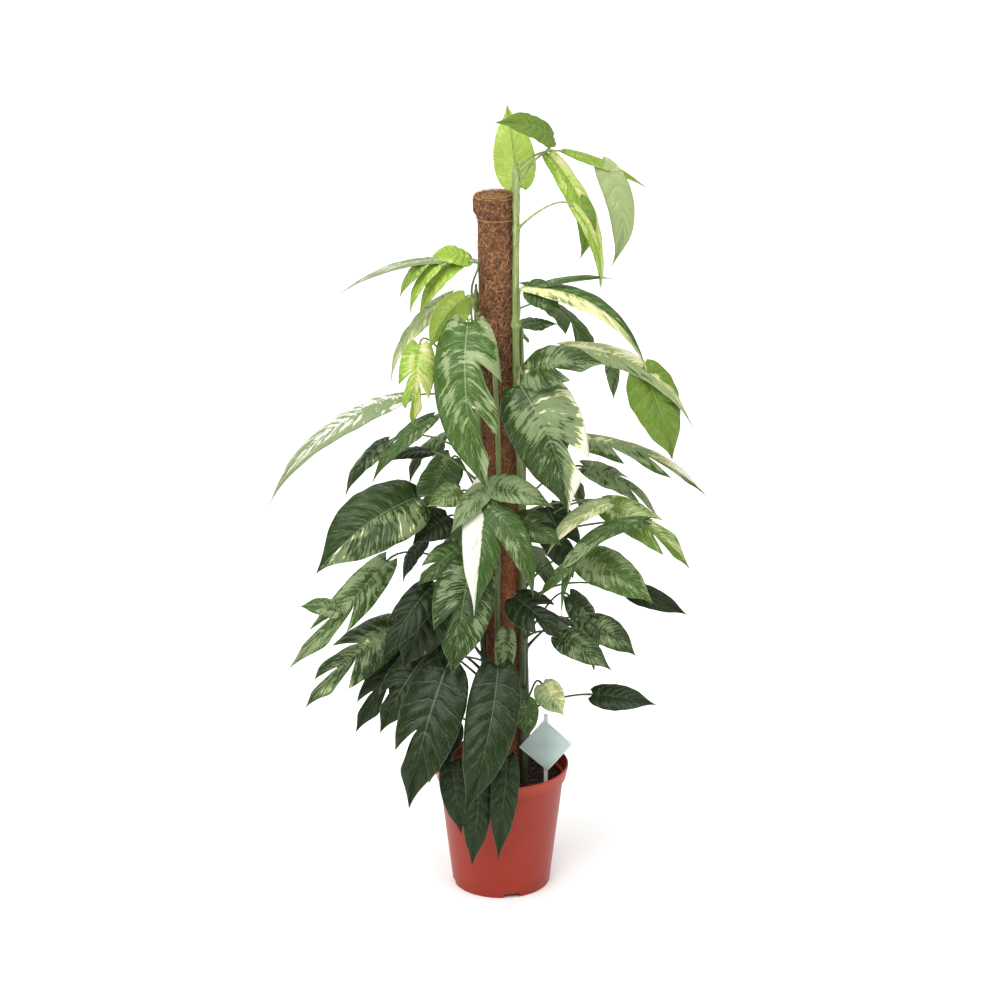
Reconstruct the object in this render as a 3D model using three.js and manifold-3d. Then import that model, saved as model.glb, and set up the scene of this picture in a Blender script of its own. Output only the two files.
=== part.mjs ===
// A climbing pinnate-leaved aroid on a coir pole, in a round plastic nursery pot.
// Units are millimetres, +Z is up, and the origin is the middle of the pot's underside.
// The plant is seen from the front by looking along +Y, with +X to the right.

import * as THREE from "three";
import { mergeVertices } from "three/addons/utils/BufferGeometryUtils.js";
import Module from "manifold-3d";

const wasm = await Module();
wasm.setup();

// Driving dimensions of the pot
const RIM_RADIUS = 105;
const POT_HEIGHT = 198;
const BASE_RADIUS = 75.6;
const WALL = 1.9;
const LIP_DROP = 22;
const LIP_STEP = 4;
const EDGE = 1.5;
const FOOT_RING = 5;
const MIDDLE_RING = 24;
const FLOOR_RISE = 8;
const FLOOR_THICK = 2.4;
const DRAFT = 0.8;
const DRAIN_HOLES = 8;
const DRAIN_RADIUS = 5;
const DRAIN_CIRCLE = 50;
const NOTCHES = 4;
const NOTCH_WIDTH = 24;
const NOTCH_HEIGHT = 6.5;
const NOTCH_TURN = -78;
const POT_SIDES = 30;
const DRAIN_SIDES = 8;

// Driving dimensions of the soil and the pole
const GAP = 0.3;
const SOIL_TOP = 176;
const POLE_RADIUS = 29;
const POLE_FLARE = 33;
const FLARE_SHIFT = -2.4;
const POLE_TOP = 1100;
const POLE_FOOT = 40;
const POLE_BASE_X = 8;
const POLE_LEAN = -0.0175;
const STAKE_RADIUS = 12;
const STAKE_FOOT = 16;
const STAKE_TOP = 1080;
const STAKE_POINT = [0.4, 22];
const TWINE_RADIUS = 0.8;
const TWINE_HEIGHTS = [1064, 640, 300];
const POLE_SIDES = 16;
const POLE_RINGS = 12;
const POLE_BUMP = 0.011;
const FLARE_RISE = 12;
const SHOULDER = 6;
const STAKE_SIDES = 10;
const SOIL_SIDES = 24;
const SOIL_MOUND = 3;
const SOIL_EDGE = 8;

// Driving dimensions of the plant
const STEM_RADIUS = 6.2;
const THIN_STEM = 4.6;
const STEM_FOOT = 95;
const STEM_MOUTH = 186;
const SWAY_START = 110;
const HOLE_EASE = 1.1;
const HOLE_SIDES = 8;
const PETIOLE_RADIUS = 2.3;
const PETIOLE_SINK = 7;
const BLADE_THICK = 1.0;
const STEM_SIDES = 6;
const STEM_STEPS = 11;
const STEM_SWAY = 5;
const SWAY_HEIGHT = 95;
const PETIOLE_SIDES = 3;
const PETIOLE_STEPS = 3;
const PETIOLE_REACH = 0.3;
const SEED = 4150;

// Shape of a blade, as shares of its length or of its half-width
const FOLD = 0.22;
const WAVE = 0.07;
const WAVES = 9;
const BASE_LOBE = 0.06;
const BASE_ROUND = 0.08;
const BASE_POWER = 0.5;
const TIP_POWER = 0.95;
const VEIN_LEAN = 0.9;
const VEIN_CURVE = 1.4;
const LAST_VEIN = 0.82;
const VEIN_ROOM = 0.45;
const LOBE_POINT = 1.06;
const LOBE_HEEL = 0.62;
const LOBE_LEAN = 0.035;
const DRIP_START = 0.7;
const DRIP = 0.55;
const HANG_PULL = 0.3;
const LONG_BLADE = 150;
const VEINS = [3, 4];

// Driving dimensions of the tag
const CARD_SIDE = 59;
const CARD_THICK = 1.2;
const CARD_CENTRE = [69, -34, 240];
const CARD_LEAN = 5;
const CARD_TURN = 41;
const TAG_STICK = [6, 2.2];
const TAG_STICK_FOOT = 120;
const TAG_STICK_TOP = 290;

const material = (colour, roughness) =>
  new THREE.MeshStandardMaterial({ color: colour, roughness, metalness: 0 });

const part = new THREE.Group();

function addPart(name, geometry, finish) {
  const mesh = new THREE.Mesh(geometry, finish);
  mesh.name = name;
  part.add(mesh);
}

// Turns a closed geometry into a solid that can be joined and cut.
function solidOf(geometry) {
  const bare = geometry.clone();
  bare.deleteAttribute("normal");
  bare.deleteAttribute("uv");
  const merged = mergeVertices(bare, 1e-4);
  return new wasm.Manifold(new wasm.Mesh({
    numProp: 3,
    vertProperties: new Float32Array(merged.attributes.position.array),
    triVerts: new Uint32Array(merged.index.array),
  }));
}

function geometryOf(solid) {
  const mesh = solid.getMesh();
  const geometry = new THREE.BufferGeometry();
  geometry.setAttribute("position", new THREE.BufferAttribute(mesh.vertProperties, 3));
  geometry.setIndex(new THREE.BufferAttribute(mesh.triVerts, 1));
  return geometry;
}

const vec = (x, y, z) => new THREE.Vector3(x, y, z);
const radians = THREE.MathUtils.degToRad;

// A profile of radius and height, spun round the vertical axis.
function spun(profile, sides) {
  const points = profile.map(([radius, height]) => new THREE.Vector2(radius, height));
  const geometry = new THREE.LatheGeometry(points, sides);
  geometry.rotateX(Math.PI / 2);
  return geometry;
}

function rod(radius, bottom, top, sides) {
  const geometry = new THREE.CylinderGeometry(radius, radius, top - bottom, sides);
  geometry.rotateX(Math.PI / 2);
  geometry.translate(0, 0, (top + bottom) / 2);
  return geometry;
}

// A round bar with few sides along a curve.
function bar(curve, radius, sides, steps) {
  const section = new THREE.Shape();
  for (let side = 0; side < sides; side += 1) {
    const angle = (2 * Math.PI * side) / sides;
    const x = radius * Math.cos(angle);
    const y = radius * Math.sin(angle);
    if (side === 0) section.moveTo(x, y);
    else section.lineTo(x, y);
  }
  section.closePath();
  return new THREE.ExtrudeGeometry(section, { steps, extrudePath: curve, bevelEnabled: false });
}

// The middle of the pole at a height: it leans a little to the left.
function poleMiddle(height) {
  return vec(POLE_BASE_X + POLE_LEAN * (height - SOIL_TOP), 0, height);
}

// Slants an upright geometry so that it follows the pole.
function leaning(geometry) {
  const spots = geometry.attributes.position;
  for (let i = 0; i < spots.count; i += 1) {
    spots.setX(i, spots.getX(i) + poleMiddle(spots.getZ(i)).x);
  }
  return geometry;
}

function makePot() {
  const floorTop = FLOOR_RISE + FLOOR_THICK;
  const lipBottom = POT_HEIGHT - LIP_DROP;
  const stepRadius = RIM_RADIUS - LIP_STEP;
  const profile = [
    [0, 0], [MIDDLE_RING, 0], [MIDDLE_RING + 3, FLOOR_RISE],
    [BASE_RADIUS - FOOT_RING, FLOOR_RISE], [BASE_RADIUS - FOOT_RING + EDGE, 0],
    [BASE_RADIUS, 0], [BASE_RADIUS + DRAFT, EDGE], [stepRadius - LIP_STEP, lipBottom - 1],
    [stepRadius, lipBottom], [RIM_RADIUS, POT_HEIGHT - EDGE], [RIM_RADIUS - DRAFT, POT_HEIGHT],
    [RIM_RADIUS - FLOOR_THICK, POT_HEIGHT], [stepRadius - WALL, lipBottom + WALL],
    [stepRadius - LIP_STEP - WALL, lipBottom - 1], [BASE_RADIUS + DRAFT - WALL, floorTop],
    [MIDDLE_RING, floorTop], [MIDDLE_RING - 3, FLOOR_THICK], [0, FLOOR_THICK],
  ];
  let pot = solidOf(spun(profile, POT_SIDES));
  for (let hole = 0; hole < DRAIN_HOLES; hole += 1) {
    const angle = (2 * Math.PI * hole) / DRAIN_HOLES;
    const drill = rod(DRAIN_RADIUS, FLOOR_RISE - EDGE, floorTop + EDGE, DRAIN_SIDES);
    drill.translate(DRAIN_CIRCLE * Math.cos(angle), DRAIN_CIRCLE * Math.sin(angle), 0);
    pot = pot.subtract(solidOf(drill));
  }
  for (let notch = 0; notch < NOTCHES; notch += 1) {
    const cutter = new THREE.BoxGeometry(4 * FOOT_RING, NOTCH_WIDTH, 2 * NOTCH_HEIGHT);
    cutter.translate(BASE_RADIUS, 0, 0);
    cutter.rotateZ(radians(NOTCH_TURN + (360 * notch) / NOTCHES));
    pot = pot.subtract(solidOf(cutter));
  }
  return geometryOf(pot);
}

// The fibre wrap is a bumpy cylinder with a blind bore for the stake.
function makeFibreWrap() {
  const waist = TWINE_HEIGHTS[0];
  const profile = [[0, POLE_FOOT]];
  for (let ring = 0; ring < POLE_RINGS; ring += 1) {
    profile.push([POLE_RADIUS, POLE_FOOT + ((waist - POLE_FOOT) * ring) / POLE_RINGS]);
  }
  profile.push([POLE_RADIUS - GAP, waist], [POLE_FLARE, waist + FLARE_RISE]);
  profile.push([POLE_FLARE, POLE_TOP - SHOULDER - 1], [POLE_FLARE - SHOULDER, POLE_TOP - 1], [0, POLE_TOP]);
  const wrap = spun(profile, POLE_SIDES);
  const spots = wrap.attributes.position;
  for (let i = 0; i < spots.count; i += 1) {
    const x = spots.getX(i);
    const y = spots.getY(i);
    const z = spots.getZ(i);
    const angle = Math.atan2(y, x);
    const bump = 1 - POLE_BUMP * (1 + Math.sin(3 * angle + z / POT_HEIGHT));
    const shift = FLARE_SHIFT * THREE.MathUtils.smoothstep(z, waist, waist + FLARE_RISE);
    spots.setX(i, x * bump + shift);
    spots.setY(i, y * bump);
  }
  const bore = rod(STAKE_RADIUS + GAP, POLE_FOOT - 5, STAKE_TOP + GAP, STAKE_SIDES);
  return geometryOf(solidOf(leaning(wrap)).subtract(solidOf(leaning(bore))));
}

function makeTwine(height) {
  const inner = POLE_RADIUS + GAP;
  const profile = [
    [inner, height - TWINE_RADIUS], [inner + 2 * TWINE_RADIUS, height - TWINE_RADIUS],
    [inner + 2 * TWINE_RADIUS, height + TWINE_RADIUS], [inner, height + TWINE_RADIUS],
    [inner, height - TWINE_RADIUS],
  ];
  return leaning(spun(profile, POLE_SIDES));
}

function makeStake() {
  const [blunt, rise] = STAKE_POINT;
  const profile = [
    [0, STAKE_FOOT], [STAKE_RADIUS * blunt, STAKE_FOOT], [STAKE_RADIUS, STAKE_FOOT + rise],
    [STAKE_RADIUS, STAKE_TOP], [0, STAKE_TOP],
  ];
  return leaning(spun(profile, STAKE_SIDES));
}

function makeSoil() {
  const floor = FLOOR_RISE + FLOOR_THICK + GAP;
  const edge = SOIL_TOP - SOIL_EDGE;
  const wallRadius = (height) => {
    const low = BASE_RADIUS + DRAFT;
    const share = (height - EDGE) / (POT_HEIGHT - LIP_DROP - 1 - EDGE);
    return low + (RIM_RADIUS - 2 * LIP_STEP - low) * share - WALL - 5 * GAP;
  };
  const profile = [
    [0, floor], [wallRadius(floor), floor], [wallRadius(edge), edge],
    [wallRadius(edge) - 2 * SOIL_EDGE, SOIL_TOP - 1],
    [POLE_RADIUS + 2 * SOIL_EDGE, SOIL_TOP + SOIL_MOUND - 1], [0, SOIL_TOP + SOIL_MOUND],
  ];
  let soil = solidOf(spun(profile, SOIL_SIDES));
  const poleHole = rod(POLE_RADIUS + 2 * GAP, POLE_FOOT - GAP, POT_HEIGHT, POLE_SIDES);
  soil = soil.subtract(solidOf(leaning(poleHole)));
  const stakeHole = rod(STAKE_RADIUS + GAP, STAKE_FOOT - GAP, POLE_FOOT, STAKE_SIDES);
  soil = soil.subtract(solidOf(leaning(stakeHole)));
  Object.values(STEMS).forEach((stem) => {
    soil = soil.subtract(solidOf(stemHole(stem)));
  });
  return geometryOf(soil.subtract(solidOf(makeTagStick(GAP))));
}

// The card stands on its corner, leans back a little, and its stick runs up behind it.
function placeTag(geometry) {
  geometry.rotateX(radians(-CARD_LEAN));
  geometry.translate(...CARD_CENTRE);
  return geometry;
}

function makeCard() {
  const card = new THREE.BoxGeometry(CARD_SIDE, CARD_THICK, CARD_SIDE);
  card.rotateY(radians(CARD_TURN));
  return placeTag(card);
}

function makeTagStick(spare) {
  const [width, thick] = TAG_STICK;
  const top = TAG_STICK_TOP - CARD_CENTRE[2];
  const foot = TAG_STICK_FOOT - CARD_CENTRE[2];
  const stick = new THREE.BoxGeometry(width + 2 * spare, thick + 2 * spare, top - foot + 2 * spare);
  stick.translate(0, CARD_THICK / 2 + GAP + thick / 2, (top + foot) / 2);
  return placeTag(stick);
}

// Which way each climbing stem faces round the pole, in degrees from +X, and its top.
const STEMS = {
  stem_right_front: { turn: -42, top: 1150, radius: STEM_RADIUS },
  stem_right_back: { turn: 22, top: 905, radius: THIN_STEM },
  stem_front: { turn: -100, top: 885, radius: THIN_STEM + 0.2 },
  stem_left_front: { turn: -152, top: 925, radius: THIN_STEM },
  stem_left_back: { turn: 158, top: 960, radius: THIN_STEM },
  stem_back: { turn: 92, top: 935, radius: THIN_STEM },
};

function stemPoint(stem, height) {
  const middle = poleMiddle(height);
  const free = THREE.MathUtils.smoothstep(height, STEM_MOUTH, STEM_MOUTH + SWAY_START);
  const sway = STEM_SWAY * free * Math.sin(height / SWAY_HEIGHT + stem.turn);
  const angle = radians(stem.turn + sway);
  const reach = POLE_RADIUS + 3 * GAP + 2 * TWINE_RADIUS + stem.radius;
  return vec(middle.x + reach * Math.cos(angle), reach * Math.sin(angle), height);
}

function stemCurve(stem) {
  const points = [];
  for (let step = 0; step <= STEM_STEPS; step += 1) {
    points.push(stemPoint(stem, STEM_FOOT + ((stem.top - STEM_FOOT) * step) / STEM_STEPS));
  }
  return new THREE.CatmullRomCurve3(points);
}

// The straight hole that a stem stands in.
function stemHole(stem) {
  const foot = stemPoint(stem, STEM_FOOT - 2);
  const mouth = stemPoint(stem, STEM_MOUTH);
  return bar(new THREE.LineCurve3(foot, mouth), HOLE_EASE * (stem.radius + 2 * GAP), HOLE_SIDES, 1);
}

// Cut patterns: each cut is the side, its place along the midrib, and the width of its gap.
const CUTS = {
  whole: [],
  lobe: [],
  right: [[1, 0.4, 0.06]],
  left: [[-1, 0.4, 0.06]],
  rights: [[1, 0.2, 0.07], [1, 0.46, 0.08]],
  lefts: [[-1, 0.2, 0.07], [-1, 0.46, 0.08]],
  pair: [[-1, 0.46, 0.05], [1, 0.32, 0.06]],
  few: [[-1, 0.3, 0.05], [-1, 0.54, 0.05], [1, 0.4, 0.07]],
  deep: [[-1, 0.2, 0.07], [-1, 0.44, 0.08], [1, 0.3, 0.08], [1, 0.54, 0.07]],
};
const CUT_START = {
  whole: 0.42, lobe: 0.42, right: 0.36, left: 0.36, rights: 0.26, lefts: 0.26, pair: 0.36, few: 0.3,
  deep: 0.22,
};
// How far the outer part of the blade hangs below its midrib, as a share of the half-width.
const HANG = {
  whole: 0.12, lobe: 0.1, right: 0.16, left: 0.16, rights: 0.45, lefts: 0.45, pair: 0.16, few: 0.22,
  deep: 0.3,
};

// The tip is drawn out, so that rain drips off it.
function outlineAt(share) {
  const drip = 1 - DRIP * THREE.MathUtils.smoothstep(share, DRIP_START, 1);
  return share ** BASE_POWER * (1 - share) ** TIP_POWER * drip;
}

const OUTLINE_PEAK = outlineAt(BASE_POWER / (BASE_POWER + TIP_POWER));

// Half-width of the blade's outline at a share of its length, 1 at the widest place.
function halfWidth(along) {
  const share = THREE.MathUtils.clamp((along + BASE_ROUND) / (1 + BASE_ROUND), 0, 1);
  return outlineAt(share) / OUTLINE_PEAK;
}

// How far forward a side vein leans between the midrib and the margin.
const veinLean = (place) => VEIN_LEAN * place * (1 - place) - BASE_LOBE * (1 - place) ** 3;

// The side veins of one half: where each leaves the midrib, and where it ends.
function veinsOf(cuts, count) {
  const veins = [];
  for (let i = 0; i < count; i += 1) {
    const start = (i / (count - 1)) * LAST_VEIN;
    if (cuts.some((cut) => Math.abs(cut[1] - start) < VEIN_ROOM / count)) continue;
    const end = start + veinLean(start);
    veins.push({ start, end, reach: halfWidth(end), split: false });
  }
  for (const [, start, gap] of cuts) {
    const rear = start + veinLean(start) + LOBE_LEAN;
    const front = rear + gap;
    veins.push({ start, end: rear, reach: LOBE_POINT * halfWidth(rear), split: true });
    veins.push({ start, end: front, reach: LOBE_HEEL * halfWidth(front), split: false });
  }
  return veins.sort((a, b) => a.start - b.start || a.end - b.end);
}

// The blade as a flat net: along is a share of the length, across a share of the half-width.
function flatBlade(form, count) {
  const points = [];
  const triangles = [];
  const point = (along, across) => points.push([along, across]) - 1;
  const base = point(0, 0);
  const tip = point(1, 0);
  const middle = new Map([[0, base]]);
  const middleAt = (place) => {
    if (!middle.has(place)) middle.set(place, point(place, 0));
    return middle.get(place);
  };
  const share = CUT_START[form];
  const sides = [-1, 1].map((side) => {
    const cuts = CUTS[form].filter((cut) => cut[0] === side);
    return { side, veins: veinsOf(cuts, count) };
  });
  sides.forEach(({ veins }) => veins.forEach((vein) => middleAt(vein.start)));
  const places = [...middle.keys()].sort((a, b) => a - b);
  const face = (side, a, b, c) => {
    if (a === b || b === c || a === c) return;
    triangles.push(side > 0 ? [a, b, c] : [a, c, b]);
  };
  for (const { side, veins } of sides) {
    let last = null;
    for (const vein of veins) {
      const shared = last && last.split && last.start === vein.start;
      const lean = (vein.end - vein.start) * share ** VEIN_CURVE;
      const inner = shared ? last.inner : point(vein.start + lean, side * vein.reach * share);
      const outer = point(vein.end, side * vein.reach);
      if (last && !shared) {
        const between = places.filter((place) => place >= last.start && place <= vein.start);
        for (let i = 0; i + 1 < between.length; i += 1) {
          face(side, middle.get(between[i]), middle.get(between[i + 1]), last.inner);
        }
        face(side, middle.get(vein.start), inner, last.inner);
        face(side, last.inner, inner, last.outer);
        face(side, inner, outer, last.outer);
      }
      last = { ...vein, inner, outer };
    }
    const rest = places.filter((place) => place >= last.start);
    for (let i = 0; i + 1 < rest.length; i += 1) {
      face(side, middle.get(rest[i]), middle.get(rest[i + 1]), last.inner);
    }
    face(side, middle.get(places[places.length - 1]), tip, last.inner);
    face(side, last.inner, tip, last.outer);
  }
  return { points, triangles };
}

// Gives a net of triangles its thickness, with both faces split alike and a wall round the margin.
function thickened(points, triangles, thick) {
  const normals = points.map(() => vec(0, 0, 0));
  for (const [a, b, c] of triangles) {
    const normal = points[b].clone().sub(points[a]).cross(points[c].clone().sub(points[a]));
    [a, b, c].forEach((corner) => normals[corner].add(normal));
  }
  const spots = [];
  for (const level of [0.5, -0.5]) {
    points.forEach((spot, i) => {
      const moved = spot.clone().addScaledVector(normals[i].clone().normalize(), level * thick);
      spots.push(moved.x, moved.y, moved.z);
    });
  }
  const count = points.length;
  const edges = new Set();
  const index = [];
  for (const [a, b, c] of triangles) {
    index.push(a, b, c, count + a, count + c, count + b);
    [[a, b], [b, c], [c, a]].forEach(([from, to]) => edges.add(`${from},${to}`));
  }
  for (const edge of edges) {
    const [from, to] = edge.split(",").map(Number);
    if (edges.has(`${to},${from}`)) continue;
    index.push(to, from, count + from, to, count + from, count + to);
  }
  const geometry = new THREE.BufferGeometry();
  geometry.setAttribute("position", new THREE.Float32BufferAttribute(spots, 3));
  geometry.setIndex(index);
  return geometry;
}

// The curve of the midrib and the way that the blade's upper face looks.
function bladeLine(leaf) {
  const base = vec(...leaf.base);
  const tip = vec(...leaf.tip);
  const chord = tip.clone().sub(base);
  const length = chord.length();
  const ahead = chord.clone().normalize();
  const face = vec(...leaf.face);
  face.addScaledVector(ahead, -face.dot(ahead)).normalize();
  const side = face.clone().cross(ahead).normalize();
  const crown = base.clone().lerp(tip, 0.5).addScaledVector(face, 2 * leaf.arch * length);
  crown.addScaledVector(side, 2 * leaf.bow * length);
  return { curve: new THREE.QuadraticBezierCurve3(base, crown, tip), face, length };
}

function bladeSpot(line, leaf, along, across) {
  const place = THREE.MathUtils.clamp(along, 0, 1);
  const middle = line.curve.getPoint(place);
  const ahead = line.curve.getTangent(place);
  middle.addScaledVector(ahead, (along - place) * line.length);
  const up = line.face.clone().addScaledVector(ahead, -line.face.dot(ahead)).normalize();
  const side = up.clone().cross(ahead).normalize();
  const reach = Math.abs(across);
  const wave = WAVE * Math.sin(WAVES * along + leaf.phase + Math.sign(across)) * reach * reach;
  const hang = HANG[leaf.form];
  const rise = FOLD * reach - (FOLD + hang) * reach * reach + wave;
  const spread = across * (1 - HANG_PULL * hang * reach * reach);
  middle.addScaledVector(side, (spread * leaf.width) / 2);
  return middle.addScaledVector(up, (rise * leaf.width) / 2);
}

function makeBlade(leaf) {
  const line = bladeLine(leaf);
  const veins = VEINS[Number(line.length > LONG_BLADE)];
  const flat = flatBlade(leaf.form, veins);
  const points = flat.points.map(([along, across]) => bladeSpot(line, leaf, along, across));
  return thickened(points, flat.triangles, BLADE_THICK);
}

function makePetiole(leaf, stem) {
  const line = bladeLine(leaf);
  const start = stemPoint(stem, leaf.at);
  const middle = poleMiddle(leaf.at);
  const out = start.clone().sub(middle).normalize();
  const end = line.curve.getPoint(PETIOLE_SINK / line.length);
  const span = start.distanceTo(end);
  const away = line.curve.getTangent(0);
  const first = start.clone().addScaledVector(out.add(vec(0, 0, 1)), PETIOLE_REACH * span);
  const second = end.clone().addScaledVector(away, -PETIOLE_REACH * span);
  const curve = new THREE.CubicBezierCurve3(start, first, second, end);
  return bar(curve, PETIOLE_RADIUS, PETIOLE_SIDES, PETIOLE_STEPS);
}

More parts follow.
